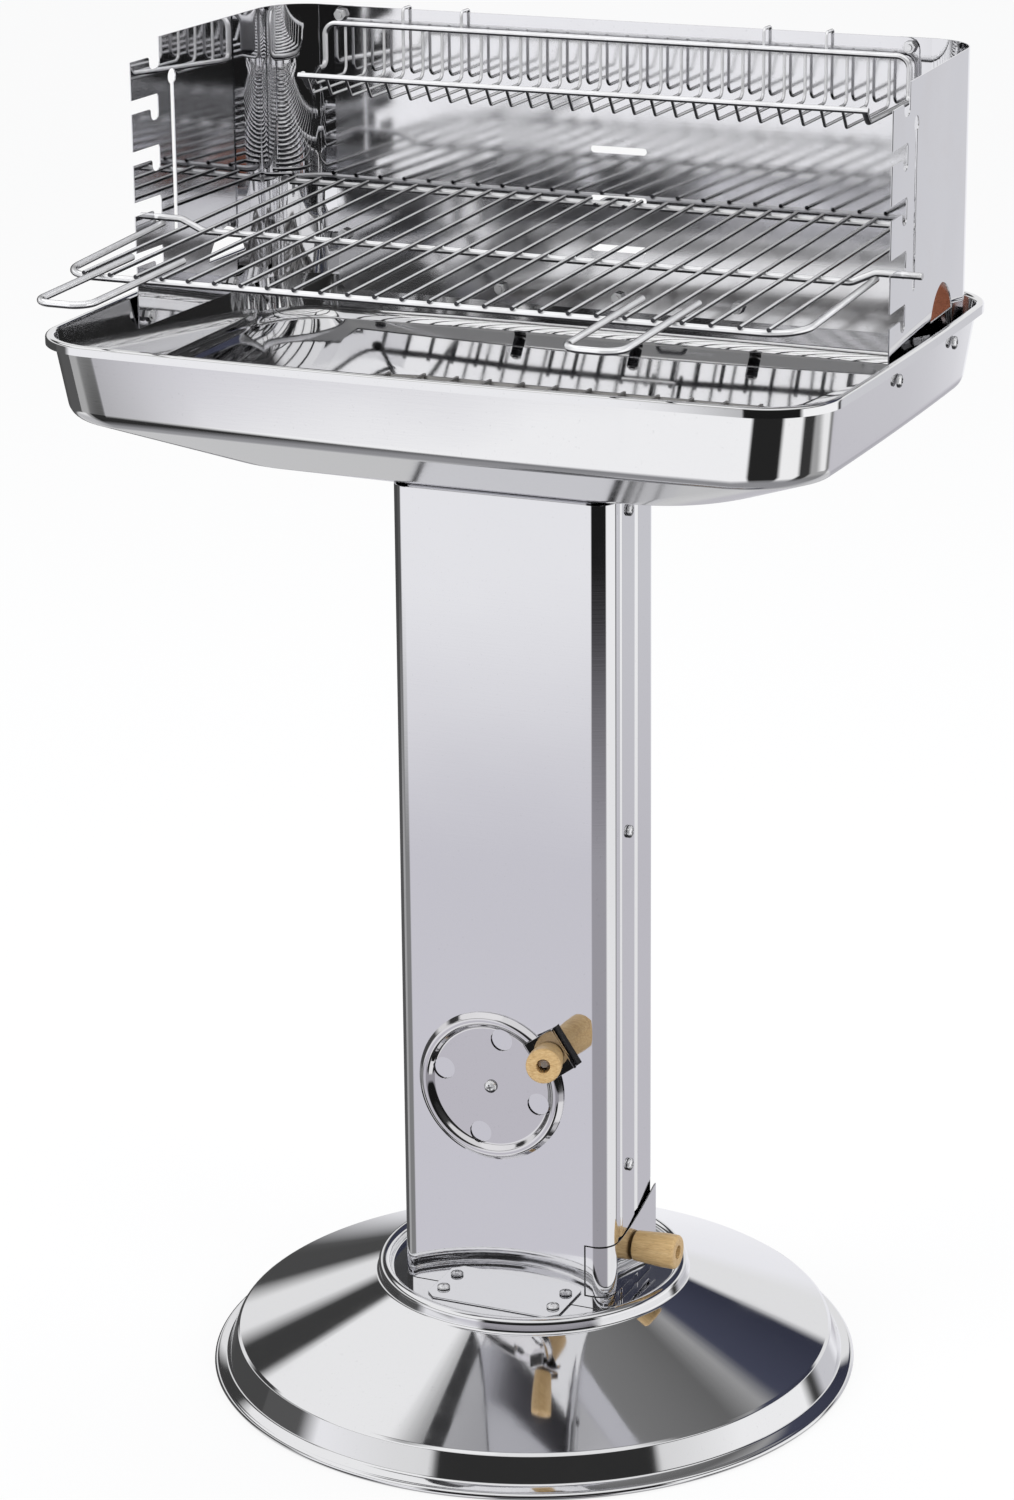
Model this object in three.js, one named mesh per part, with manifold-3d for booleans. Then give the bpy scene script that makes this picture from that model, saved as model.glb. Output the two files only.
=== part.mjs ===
// A free-standing charcoal barbecue of polished stainless steel on a column. A spun foot carries a
// column folded from two channels. The column feeds air to the fire bowl and lets the ash down into
// a drawer. A three-sided windshield in the bowl carries the cooking grate and the warming rack.
// Millimetres, +X right, +Y back, +Z up. The origin is on the floor, under the middle of the whole.

import * as THREE from 'three';
import { mergeVertices } from 'three/addons/utils/BufferGeometryUtils.js';
import Module from 'manifold-3d';

const wasm = await Module();
wasm.setup();

// Sheets, wires and clearances
const heavySheet = 1.5;
const sheet = 1.2;
const windSheet = 1.0;
const frameWire = 5;
const rodWire = 3;
const rackWire = 4.2;
const rackThinWire = 2.2;
const weldSink = 1;
const touch = 0.3;
const running = 1.2;
const overrun = 4;

// Base dish
const baseRadius = 236;
const baseSetback = 10.5;
const rollHeight = 6;
const rollWidth = 5;
const skirtFootRadius = 226;
const skirtFootHeight = 8.5;
const skirtTopRadius = 219;
const skirtTopHeight = 25;
const coneTopHeight = 68.7;
const collarRadius = 113.8;
const collarWidth = 9;
const collarHeight = 79;
const collarRound = 2;
const plateHeight = 70.5;

// Column
const columnWidth = 165;
const columnDepth = 90;
const columnSetback = 2;
const columnCorner = 14;
const grooveDepth = 0.9;
const grooveWidth = 8;
const grooveSlope = 2;
const lapEnd = 4;
const lapLength = 21;
const jogLength = 6;
const sideScrewSetback = -7;
const sideScrewFootHeight = 171;
const sideScrewMiddleHeight = 424;
const sideScrewTopDrop = 10;

// Foot tabs, folded out of the column's lower edge
const footTabWidth = 103;
const footTabReach = 28;
const footTabChamfer = 7;
const footScrewSpacing = 86;
const footScrewReach = 12;

// Ash drawer and the opening that it closes
const drawerFrontWidth = 19;
const drawerTop = 118;
const drawerBackTop = 138;
const drawerBackInset = 8;
const drawerFlare = 3;
const drawerSeam = 1;
const trayHeight = 27;
const trayReach = 152;
const trayBackInset = 12;
const trayCorner = 4;
const guideHeight = 7;
const guideLength = 125;
const drawerKnobHeight = 104;
const drawerKnobSetback = 1.6;

// Vent disc, seen from the front
const ventX = -8.5;
const ventHeight = 231.5;
const ventRadius = 56;
const ventRingWidth = 11;
const ventRingHeight = 3.4;
const ventHoleRadius = 8.3;
const ventHoleCircle = 37.5;
const ventHoleCount = 4;
const ventHoleAngle = 77;
const ventTabAngle = 34;
const ventTabWidth = 32;
const ventTabRise = 9.8;
const ventTabTilt = 20;
const ventTabLip = 4.5;
const ventTabOverhang = 12.5;

// Turned knobs
const knobLength = 33;
const knobRadius = 12.5;
const knobFootRadius = 11;
const knobRound = 2.4;
const knobBoreRadius = 4.6;
const knobBoreDepth = 11;

// Fire bowl
const bowlWidth = 570;
const bowlDepth = 398;
const bowlCorner = 49;
const bowlBow = 7;
const rimHeight = 784;
const rimLip = 6.6;
const rimWidth = 5;
const wallDrop = 56;
const wallTaper = 7.2;
const hopperWidth = 405;
const hopperDepth = 240;
const hopperCorner = 78;
const hopperDrop = 91;
const spigotLength = 22;
const spigotDrop = 115;
const spigotStep = 2;

// Charcoal grate
const coalGrateRise = 8;
const coalRodSpacing = 26;

// Windshield
const windHeight = 175;
const windRearInset = 18.2;
const windFrontInset = 8.6;
const windBackInset = 17;
const windDrop = 24;
const windRearDrop = 34;
const windCorner = 37;
const windReturn = 30;
const windFront = 4.7;
const hookStripWidth = 40;
const hookStripDrop = 12.4;
const hookPitch = 35.6;
const hookTopDrop = 39;
const hookEntry = 9.5;
const hookDrop = 18;
const hookPocket = 11;
const hookPocketSetback = 3.5;
const hookCornerRadius = 2.2;
const hookPocketRadius = 4.8;
const hookCount = 4;
const keySlotSetback = 20.5;
const keySlotWidth = 5;
const keySlotHead = 5.5;
const keySlotDrop = 30;
const keySlotLength = 111;
const archSetback = 92;
const archHalfWidth = 27;
const archApexRise = 25.5;
const archBaseRise = 3;
const rearSheetInset = 43.8;
const rearSlotWidth = 43;
const rearSlotHeight = 5;
const rearSlotDrop = 92.2;
const rearSlotCount = 3;
const jointScrewInset = 6.5;
const jointScrewRise = 7;
const wallScrewDrop = 16;
const wallScrewFront = -26;
const wallScrewBack = 94;
const rearScrewSpacing = 92;
const rearScrewDrop = 24;

// Cooking grate
const grateLeftInset = 14;
const grateRightInset = 29;
const grateFront = -152.6;
const grateCorner = 25;
const grateSag = 4.5;
const hookWireSetback = -4.1;
const hookWireOverhang = 3;
const hookWireRamp = 17;
const rodCount = 26;
const rearWireGap = 13;
const hookLoopWidth = 22;
const handleTip = 246.5;
const handleWidth = 39;
const handleCorner = 13;
const handleRoot = 45;
const leftHandleInset = 50;
const rightHandleInset = 104.5;

// Warming rack
const rackLeftInset = 40.8;
const rackRightInset = 47.8;
const rackWireCount = 30;
const rackTopDrop = 11;
const rackFloorDrop = 47.5;
const rackBackGap = 5.2;
const rackDepth = 89;
const rackLipReach = 10;
const rackLipHeight = 15.2;
const rackEndRise = 4.5;
const rackEndStraight = 13;
const rackShortWireCount = 1;
const rackBend = 6;
const rackCorner = 9;
const rackHookDrop = 26;
const rackOuterHookCount = 4;
const rackInnerHookCount = 7;

// Fasteners
const screwRadius = 2.4;
const screwHeadRadius = 4.6;
const screwHeadHeight = 2.8;
const screwLength = 11;
const jointScrewLength = 8;
const nutWidth = 8;
const nutHeight = 4;

// Counts of facets
const latheFacets = 36;
const discFacets = 28;
const smallFacets = 8;
const wireSides = 6;
const thinSides = 4;
const nutSides = 6;
const arcSteps = 4;
const bendSteps = 2;

// Heights that follow the bowl's rim and the windshield's top
const wallBottomHeight = rimHeight - wallDrop;
const hopperHeight = rimHeight - hopperDrop;
const spigotTopHeight = rimHeight - spigotDrop;
const columnTop = spigotTopHeight - spigotStep;
const coalGrateHeight = hopperHeight + coalGrateRise;
const windTop = rimHeight + windHeight;
const windBottom = rimHeight - windDrop;
const windRearBottom = rimHeight - windRearDrop;
const hookTop = windTop - hookTopDrop;
const keySlotTop = windTop - keySlotDrop;
const keySlotBottom = keySlotTop - keySlotLength;
const archApex = rimHeight + archApexRise;
const archBase = rimHeight + archBaseRise;
const rearSlotTop = windTop - rearSlotDrop;
const jointScrewLow = rimHeight + jointScrewRise;
const wallScrewHeight = rimHeight - wallScrewDrop;
const rearScrewHeight = rimHeight - rearScrewDrop;
const rackTopHeight = windTop - rackTopDrop;
const rackFloorHeight = windTop - rackFloorDrop;
const sideScrewHeights = {
  foot: sideScrewFootHeight,
  middle: sideScrewMiddleHeight,
  top: columnTop - sideScrewTopDrop,
};

// Half sizes and places that several pieces follow
const columnHalf = columnWidth / 2;
const columnFront = columnSetback - columnDepth / 2;
const columnBack = columnSetback + columnDepth / 2;
const columnBottom = plateHeight + touch;
const drawerBottom = collarHeight + running;
const spigotHalfWidth = columnHalf - sheet - touch - sheet - touch;
const spigotHalfDepth = columnDepth / 2 - sheet - touch;
const windRearHalf = bowlWidth / 2 - windRearInset;
const windFrontHalf = bowlWidth / 2 - windFrontInset;
const windRear = bowlDepth / 2 - windBackInset;
const rearSheetHalf = windRearHalf - rearSheetInset;
const grateLeft = bowlWidth / 2 - grateLeftInset;
const grateRight = bowlWidth / 2 - grateRightInset;
const hookWireReach = bowlWidth / 2 + hookWireOverhang;
const rodSpacing = (grateLeft + grateRight) / (rodCount + 1);
const firstRod = rodSpacing - grateLeft;
const rackLeft = rackLeftInset - windRearHalf;
const rackRight = windRearHalf - rackRightInset;
const windInnerRear = windRear - windSheet - touch - windSheet;
const hookLine = (windInnerRear + windRear - windSheet - touch) / 2;
const hookHeight = rearSlotTop - hookPitch - rearSlotHeight / 2 + touch + rodWire / 2;

const degrees = Math.PI / 180;

// Solids and meshes

function solid(geometry) {
  const bare = new THREE.BufferGeometry();
  bare.setAttribute('position', geometry.getAttribute('position'));
  if (geometry.index) bare.setIndex(geometry.index);
  const merged = mergeVertices(bare);
  const corners = merged.index.array;
  const kept = [];
  for (let i = 0; i < corners.length; i += 3) {
    const [a, b, c] = [corners[i], corners[i + 1], corners[i + 2]];
    if (a !== b && b !== c && c !== a) kept.push(a, b, c);
  }
  const points = new Float32Array(merged.getAttribute('position').array);
  const build = (triangles) =>
    new wasm.Manifold(
      new wasm.Mesh({ numProp: 3, vertProperties: points, triVerts: new Uint32Array(triangles) }),
    );
  const body = build(kept);
  if (body.volume() > 0) return body;
  const turned = [];
  for (let i = 0; i < kept.length; i += 3) turned.push(kept[i], kept[i + 2], kept[i + 1]);
  return build(turned);
}

function joined(solids) {
  return solids.reduce((whole, piece) => whole.add(piece));
}

function without(body, cutters) {
  return cutters.reduce((rest, cutter) => rest.subtract(cutter), body);
}

function meshOf(name, body, material) {
  const raw = body.getMesh();
  const geometry = new THREE.BufferGeometry();
  geometry.setAttribute('position', new THREE.Float32BufferAttribute(raw.vertProperties, 3));
  geometry.setIndex(Array.from(raw.triVerts));
  geometry.computeVertexNormals();
  const mesh = new THREE.Mesh(geometry, material);
  mesh.name = name;
  return mesh;
}

// Basic shapes

function block(low, high) {
  const size = high.map((value, i) => value - low[i]);
  const middle = high.map((value, i) => (value + low[i]) / 2);
  const geometry = new THREE.BoxGeometry(...size);
  geometry.translate(...middle);
  return solid(geometry);
}

// An outline in two directions, made solid between two heights along the third
function slab(outline, from, to, axis) {
  const shape = new THREE.Shape(outline.map(([u, v]) => new THREE.Vector2(u, v)));
  const geometry = new THREE.ExtrudeGeometry(shape, { depth: to - from, bevelEnabled: false });
  geometry.translate(0, 0, from);
  if (axis === 'x') {
    const turn = new THREE.Matrix4();
    turn.set(0, 0, 1, 0, 1, 0, 0, 0, 0, 1, 0, 0, 0, 0, 0, 1);
    geometry.applyMatrix4(turn);
  }
  if (axis === 'y') {
    const turn = new THREE.Matrix4();
    turn.set(1, 0, 0, 0, 0, 0, 1, 0, 0, 1, 0, 0, 0, 0, 0, 1);
    geometry.applyMatrix4(turn);
  }
  return solid(geometry);
}

function disc(radius, from, to, axis, centre, facets = smallFacets) {
  const outline = [];
  for (let i = 0; i < facets; i++) {
    const angle = (i / facets) * 2 * Math.PI;
    outline.push([centre[0] + radius * Math.cos(angle), centre[1] + radius * Math.sin(angle)]);
  }
  return slab(outline, from, to, axis);
}

// A closed outline of radii and heights, turned round the upright axis
function turned(outline, facets) {
  const points = [...outline, outline[0]].map(([r, h]) => new THREE.Vector2(r, h));
  const geometry = new THREE.LatheGeometry(points, facets);
  geometry.rotateX(90 * degrees);
  return solid(geometry);
}

// The corners of a path with each bend rounded by an arc
function rounded(corners, radii, steps = arcSteps) {
  const points = [corners[0]];
  for (let i = 1; i < corners.length - 1; i++) {
    const radius = Array.isArray(radii) ? radii[i - 1] : radii;
    const back = corners[i - 1].clone().sub(corners[i]).normalize();
    const ahead = corners[i + 1].clone().sub(corners[i]).normalize();
    const half = Math.acos(THREE.MathUtils.clamp(back.dot(ahead), -1, 1)) / 2;
    const reach = radius / Math.tan(half);
    const middle = back.clone().add(ahead).normalize();
    const centre = corners[i].clone().addScaledVector(middle, radius / Math.sin(half));
    const start = corners[i].clone().addScaledVector(back, reach).sub(centre);
    const end = corners[i].clone().addScaledVector(ahead, reach).sub(centre);
    const sweep = Math.PI - 2 * half;
    for (let k = 0; k <= steps; k++) {
      const share = k / steps;
      const a = Math.sin((1 - share) * sweep) / Math.sin(sweep);
      const b = Math.sin(share * sweep) / Math.sin(sweep);
      const spoke = start.clone().multiplyScalar(a).addScaledVector(end, b);
      points.push(centre.clone().add(spoke));
    }
  }
  points.push(corners[corners.length - 1]);
  return points;
}

// A strip of sheet that follows a path in plan; its inner side lies to the left of the path
function strip(path, thickness) {
  const inner = path.map((point, i) => {
    const before = path[Math.max(i - 1, 0)];
    const after = path[Math.min(i + 1, path.length - 1)];
    const first = point.clone().sub(before).normalize();
    const second = after.clone().sub(point).normalize();
    if (i === 0) first.copy(second);
    if (i === path.length - 1) second.copy(first);
    const along = first.clone().add(second).normalize();
    const spread = thickness / Math.max(along.dot(first), Math.SQRT1_2);
    return new THREE.Vector2(point.x - along.y * spread, point.y + along.x * spread);
  });
  return [...path, ...inner.reverse()].map((point) => [point.x, point.y]);
}

const plan = (x, y) => new THREE.Vector2(x, y);
const place = (x, y, z) => new THREE.Vector3(x, y, z);

// A curve that passes through every point of a list in turn
class WirePath extends THREE.Curve {
  constructor(points) {
    super();
    this.points = points;
  }

  getPoint(share, target = new THREE.Vector3()) {
    const last = this.points.length - 1;
    const at = Math.min(Math.max(share, 0), 1) * last;
    const index = Math.min(Math.floor(at), last - 1);
    return target.lerpVectors(this.points[index], this.points[index + 1], at - index);
  }

  getUtoTmapping(share) {
    return share;
  }
}

function wire(points, diameter, sides = wireSides) {
  const radius = diameter / 2;
  const outline = [];
  for (let i = 0; i < sides; i++) {
    const angle = ((i + 1 / 2) / sides) * 2 * Math.PI;
    outline.push(new THREE.Vector2(radius * Math.cos(angle), radius * Math.sin(angle)));
  }
  const geometry = new THREE.ExtrudeGeometry(new THREE.Shape(outline), {
    steps: points.length - 1,
    extrudePath: new WirePath(points),
    bevelEnabled: false,
  });
  return solid(geometry);
}

// Materials

function steel(color, roughness) {
  return new THREE.MeshStandardMaterial({ color, roughness, metalness: 1 });
}

const polished = steel(0xd5d6da, 0.08);
const spun = steel(0xcfd0d5, 0.1);
const brushed = steel(0xc4c5ca, 0.22);
const chromed = steel(0xdadbdf, 0.06);
const zinc = steel(0xb9bbc0, 0.3);
const wood = new THREE.MeshStandardMaterial({ color: 0xc9a063, roughness: 0.6, metalness: 0 });

// Fasteners: a domed head above height 0 and a shank below it, then turned to face its way

const facing = {
  up: [0, 0, 0],
  front: [90 * degrees, 0, 0],
  back: [-90 * degrees, 0, 0],
  right: [0, 90 * degrees, 0],
  left: [0, -90 * degrees, 0],
};

function placed(mesh, position, direction) {
  mesh.position.set(...position);
  mesh.rotation.set(...facing[direction]);
  return mesh;
}

function screwSolid(length) {
  const headRoundShare = 0.72;
  const headSideShare = 0.4;
  const headShoulderShare = 0.86;
  return turned(
    [
      [0, screwHeadHeight],
      [screwHeadRadius * headRoundShare, screwHeadHeight * headShoulderShare],
      [screwHeadRadius, screwHeadHeight * headSideShare],
      [screwHeadRadius, 0],
      [screwRadius, 0],
      [screwRadius, -length],
      [0, -length],
    ],
    smallFacets,
  );
}

function nutSolid() {
  const corner = nutWidth / 2 / Math.cos((180 / nutSides) * degrees);
  const body = disc(corner, 0, nutHeight, 'z', [0, 0], nutSides);
  return body.subtract(disc(screwRadius + touch, -overrun, nutHeight + overrun, 'z', [0, 0]));
}

function screw(name, position, direction, length = screwLength) {
  return placed(meshOf(name, screwSolid(length), zinc), position, direction);
}

function nut(name, position, direction) {
  return placed(meshOf(name, nutSolid(), zinc), position, direction);
}

const screwHole = screwRadius + touch;

// Base dish: sunk plate, raised collar, cone, skirt and rolled edge in one spun sheet

function baseDish() {
  const collarInner = collarRadius - collarWidth;
  const slope = (coneTopHeight - skirtTopHeight) / (skirtTopRadius - collarRadius);
  const under = heavySheet * Math.hypot(1, slope);
  const outline = [
    [0, plateHeight],
    [collarInner, plateHeight],
    [collarInner, collarHeight - collarRound],
    [collarInner + collarRound, collarHeight],
    [collarRadius - collarRound, collarHeight],
    [collarRadius, collarHeight - collarRound],
    [collarRadius, coneTopHeight],
    [skirtTopRadius, skirtTopHeight],
    [skirtFootRadius, skirtFootHeight],
    [baseRadius - rollWidth, rollHeight],
    [baseRadius - collarRound, rollHeight],
    [baseRadius, rollHeight - collarRound],
    [baseRadius, collarRound],
    [baseRadius - collarRound, 0],
    [baseRadius - rollWidth, 0],
    [baseRadius - rollWidth - heavySheet, rollHeight - heavySheet],
    [skirtFootRadius - heavySheet, skirtFootHeight - heavySheet],
    [skirtTopRadius - heavySheet, skirtTopHeight - heavySheet],
    [collarRadius - heavySheet, coneTopHeight - under + heavySheet * slope],
    [collarRadius - heavySheet, collarHeight - heavySheet],
    [collarInner + heavySheet, collarHeight - heavySheet],
    [collarInner + heavySheet, plateHeight - heavySheet],
    [0, plateHeight - heavySheet],
  ];
  const centred = footScrewPlaces().map(([x, y]) => [x, y - baseSetback]);
  const holes = centred.map((centre) => disc(screwHole, 0, collarHeight, 'z', centre));
  const mesh = meshOf('base_dish', without(turned(outline, latheFacets), holes), spun);
  mesh.position.y = baseSetback;
  return mesh;
}

function footScrewPlaces() {
  const places = [];
  for (const y of [columnFront - footScrewReach, columnBack + footScrewReach]) {
    for (const side of [-1, 1]) places.push([side * footScrewSpacing / 2, y]);
  }
  return places;
}

function footFasteners() {
  const names = ['front_left', 'front_right', 'rear_left', 'rear_right'];
  return footScrewPlaces().flatMap(([x, y], i) => [
    screw(`foot_screw_${names[i]}`, [x, y, columnBottom + sheet + touch], 'up'),
    nut(`foot_nut_${names[i]}`, [x, y, plateHeight - heavySheet - touch - nutHeight], 'up'),
  ]);
}

// Column: the front channel wraps the rear one, and screws pass through both at each side

function frontChannel() {
  const grooveBack = lapEnd - lapLength - touch - grooveSlope;
  const grooveFront = grooveBack - grooveWidth;
  const half = [
    plan(-columnHalf, lapEnd),
    plan(-columnHalf, grooveBack),
    plan(-columnHalf + grooveDepth, grooveBack - grooveSlope),
    plan(-columnHalf + grooveDepth, grooveFront + grooveSlope),
    plan(-columnHalf, grooveFront),
  ];
  const corner = rounded(
    [plan(-columnHalf, grooveFront), plan(-columnHalf, columnFront), plan(0, columnFront)],
    columnCorner,
  ).slice(1, -1);
  const left = [...half, ...corner];
  const right = left.map((point) => plan(-point.x, point.y)).reverse();
  const outline = strip([...left, ...right], sheet);
  const walls = slab(outline, columnBottom, columnTop, 'z');
  const tab = footTab(columnFront, -1);
  const airHoles = [];
  for (let i = 0; i < ventHoleCount; i++) {
    const angle = (ventHoleAngle + ((i + 1 / 2) * 360) / ventHoleCount) * degrees;
    const centre = ventPoint(ventHoleCircle, angle);
    const facets = smallFacets + smallFacets / 2;
    airHoles.push(disc(ventHoleRadius, columnFront - overrun, 0, 'y', centre, facets));
  }
  airHoles.push(disc(screwHole, columnFront - overrun, 0, 'y', [ventX, ventHeight]));
  const body = without(joined([walls, tab]), [
    ...airHoles,
    ...footHoles(),
    ...sideScrewHoles(),
    drawerCutter(drawerSeam),
  ]);
  return meshOf('column_front_channel', body, polished);
}

function rearChannel() {
  const lapHalf = columnHalf - sheet - touch;
  const left = rounded(
    [
      plan(-lapHalf, lapEnd + touch),
      plan(-columnHalf, lapEnd + touch + jogLength),
      plan(-columnHalf, columnBack),
      plan(0, columnBack),
    ],
    [touch, columnCorner],
    arcSteps,
  ).slice(0, -1);
  left.unshift(plan(-lapHalf, lapEnd - lapLength));
  const right = left.map((point) => plan(-point.x, point.y)).reverse();
  const outline = strip([...left, ...right].reverse(), sheet);
  const walls = slab(outline, columnBottom, columnTop, 'z');
  const tab = footTab(columnBack, 1);
  const cutters = [...footHoles(), ...sideScrewHoles(), drawerCutter(drawerSeam)];
  return meshOf('column_rear_channel', without(joined([walls, tab]), cutters), polished);
}

// A tab folded outwards from the lower edge of a wall at the front or back, its corners cut off
function footTab(wall, side) {
  const half = footTabWidth / 2;
  const inner = wall - side * sheet;
  const end = wall + side * footTabReach;
  const outline = [
    [-half, inner],
    [half, inner],
    [half, end - side * footTabChamfer],
    [half - footTabChamfer, end],
    [footTabChamfer - half, end],
    [-half, end - side * footTabChamfer],
  ];
  return slab(outline, columnBottom, columnBottom + sheet, 'z');
}

function footHoles() {
  return footScrewPlaces().map((centre) => disc(screwHole, 0, collarHeight, 'z', centre));
}

function sideScrewHoles() {
  return Object.values(sideScrewHeights).map((height) =>
    disc(screwHole, -bowlWidth, bowlWidth, 'x', [sideScrewSetback, height]),
  );
}

function sideScrews() {
  const pieces = [];
  for (const [level, height] of Object.entries(sideScrewHeights)) {
    for (const [name, side] of [['left', -1], ['right', 1]]) {
      const x = side * (columnHalf + touch);
      pieces.push(screw(`column_screw_${level}_${name}`, [x, sideScrewSetback, height], name));
    }
  }
  return pieces;
}

// Ash drawer: the outline of its front seen from the side, larger by a margin for the opening
function drawerProfile(margin) {
  const back = columnBack - drawerBackInset;
  const corner = columnFront + columnCorner;
  const rise = new THREE.QuadraticBezierCurve(
    plan(corner, drawerTop),
    plan((corner * 2 + back) / 3, drawerTop),
    plan(back, drawerBackTop),
  );
  const top = rise.getPoints(arcSteps + arcSteps).map((point) => [point.x, point.y + margin]);
  return [
    [columnFront - overrun, drawerTop + margin],
    ...top,
    [back + margin, drawerBackTop + margin],
    [back + margin, drawerBottom - margin],
    [columnFront - overrun, drawerBottom - margin],
  ];
}

function drawerCutter(margin) {
  const from = columnHalf - drawerFrontWidth - margin;
  return slab(drawerProfile(margin), from, columnHalf + drawerFlare + overrun, 'x');
}

function drawerFront() {
  const back = columnBack - drawerBackInset;
  const corner = columnFront + columnCorner;
  const path = rounded(
    [
      plan(columnHalf - drawerFrontWidth, columnFront),
      plan(columnHalf, columnFront),
      plan(columnHalf + drawerFlare * columnCorner / (back - corner), corner + columnCorner),
      plan(columnHalf + drawerFlare, back),
    ],
    [columnCorner, columnDepth],
  );
  const wall = slab(strip(path, sheet), drawerBottom, drawerBackTop, 'z');
  const profile = drawerProfile(0);
  const body = wall.intersect(slab(profile, 0, columnWidth, 'x'));
  const hole = disc(screwHole, 0, columnWidth, 'x', [drawerKnobSetback, drawerKnobHeight]);
  return meshOf('ash_drawer_front', body.subtract(hole), polished);
}

// The tray's outline in plan, with one corner rounded to pass inside the front's wrapped corner
function trayOutline(inset) {
  const right = columnHalf - sheet - touch - inset;
  const left = columnHalf - trayReach + inset;
  const front = columnFront + sheet + running + inset;
  const back = columnBack - trayBackInset - inset;
  const round = columnCorner - sheet - inset;
  return rounded(
    [
      plan(left, back),
      plan(left, front),
      plan(right, front),
      plan(right, back),
      plan(left, back),
    ],
    [trayCorner, round, trayCorner],
  ).map((point) => [point.x, point.y]);
}

function drawerTray() {
  const low = drawerBottom + touch;
  const body = slab(trayOutline(0), low, low + trayHeight, 'z');
  const hollow = slab(trayOutline(sheet), low + sheet, low + trayHeight + overrun, 'z');
  const hole = disc(screwHole, 0, columnWidth, 'x', [drawerKnobSetback, drawerKnobHeight]);
  return meshOf('ash_drawer_tray', without(body, [hollow, hole]), brushed);
}

// A tray guide inside the column: a flat plate with its two long edges folded down
function drawerGuide() {
  const top = drawerBottom;
  const left = columnCorner - columnHalf;
  const right = left + guideLength;
  const front = columnFront + sheet + touch;
  const back = columnBack - sheet - touch;
  const low = top - guideHeight;
  const body = joined([
    block([left, front, top - sheet], [right, back, top]),
    block([left, front, low], [right, front + sheet, top]),
    block([left, back - sheet, low], [right, back, top]),
  ]);
  return meshOf('drawer_guide', body, brushed);
}

// A turned knob whose foot is at height 0, with a bore in its end for the screw's head
function knobSolid() {
  const waistShare = 0.35;
  return turned(
    [
      [screwHole, 0],
      [knobFootRadius - knobRound / 2, 0],
      [knobFootRadius, knobRound / 2],
      [(knobFootRadius + knobRadius) / 2, knobLength * waistShare],
      [knobRadius, knobLength - knobRound * 2],
      [knobRadius - knobRound / 2, knobLength - knobRound / 2],
      [knobRadius - knobRound, knobLength],
      [knobBoreRadius + touch, knobLength],
      [knobBoreRadius + touch, knobLength - knobBoreDepth],
      [screwHole, knobLength - knobBoreDepth],
    ],
    smallFacets + thinSides,
  );
}

// A long thin screw that clamps a knob: its head sits in the knob's bore
function knobScrewSolid() {
  const headRadius = knobBoreRadius - touch;
  const headHeight = screwHeadHeight;
  const reach = knobLength - knobBoreDepth + touch;
  const length = reach + screwLength / 2;
  const headRoundShare = 0.6;
  return turned(
    [
      [0, reach + headHeight],
      [headRadius * headRoundShare, reach + headHeight],
      [headRadius, reach + headHeight / 2],
      [headRadius, reach],
      [screwRadius, reach],
      [screwRadius, reach - length],
      [0, reach - length],
    ],
    smallFacets,
  );
}

function drawerKnob() {
  const corner = columnFront + columnCorner;
  const along = drawerKnobSetback + knobFootRadius - corner;
  const foot = columnHalf + (drawerFlare * along) / (columnBack - drawerBackInset - corner);
  const position = [foot + touch, drawerKnobSetback, drawerKnobHeight];
  return [
    placed(meshOf('ash_drawer_knob', knobSolid(), wood), position, 'right'),
    placed(meshOf('ash_drawer_knob_screw', knobScrewSolid(), zinc), position, 'right'),
  ];
}

// Vent: a dished disc on the column's front, with a tilted tab that carries the knob

function ventPoint(radius, angle) {
  return [ventX + radius * Math.cos(angle), ventHeight + radius * Math.sin(angle)];
}

const ventFace = columnFront - touch;
const tabInner = ventRadius - ventRingWidth + windSheet;
const tabOuter = ventRadius + ventTabOverhang;
const knobSeat = (tabInner + tabOuter) / 2 - windSheet;
const ventTabFall = (tabOuter - tabInner) * Math.tan(ventTabTilt * degrees);

function ventTab() {
  const path = [
    plan(tabInner - ventTabRise / 2, windSheet),
    plan(tabInner, ventTabRise),
    plan(tabOuter, ventTabRise - ventTabFall),
    plan(tabOuter + windSheet, ventTabRise - ventTabFall + ventTabLip),
  ];
  const outline = strip(path.reverse(), windSheet);
  return slab(outline, -ventTabWidth / 2, ventTabWidth / 2, 'y');
}

function ventTabHeight(radius) {
  return ventTabRise - (radius - tabInner) * Math.tan(ventTabTilt * degrees);
}

function ventDisc() {
  const flat = ventRadius - ventRingWidth;
  const path = [
    plan(screwHole, windSheet),
    plan(flat, windSheet),
    plan(flat + ventRingHeight, windSheet + ventRingHeight),
    plan(ventRadius - ventRingHeight, windSheet + ventRingHeight),
    plan(ventRadius, windSheet),
  ].reverse();
  const dish = turned(strip(path, windSheet), discFacets);
  const holes = [];
  for (let i = 0; i < ventHoleCount; i++) {
    const angle = (ventHoleAngle - ventTabAngle + (i * 360) / ventHoleCount) * degrees;
    const centre = [ventHoleCircle * Math.cos(angle), ventHoleCircle * Math.sin(angle)];
    const facets = smallFacets + smallFacets / 2;
    holes.push(disc(ventHoleRadius, -overrun, overrun, 'z', centre, facets));
  }
  const bore = disc(screwHole, -ventTabRise, ventTabRise, 'z', [0, 0])
    .rotate([0, ventTabTilt, 0])
    .translate(knobPlaceOnDisc());
  const body = without(joined([dish, ventTab()]), [...holes, bore]);
  return ventFrame(meshOf('vent_disc', body, polished));
}

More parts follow.
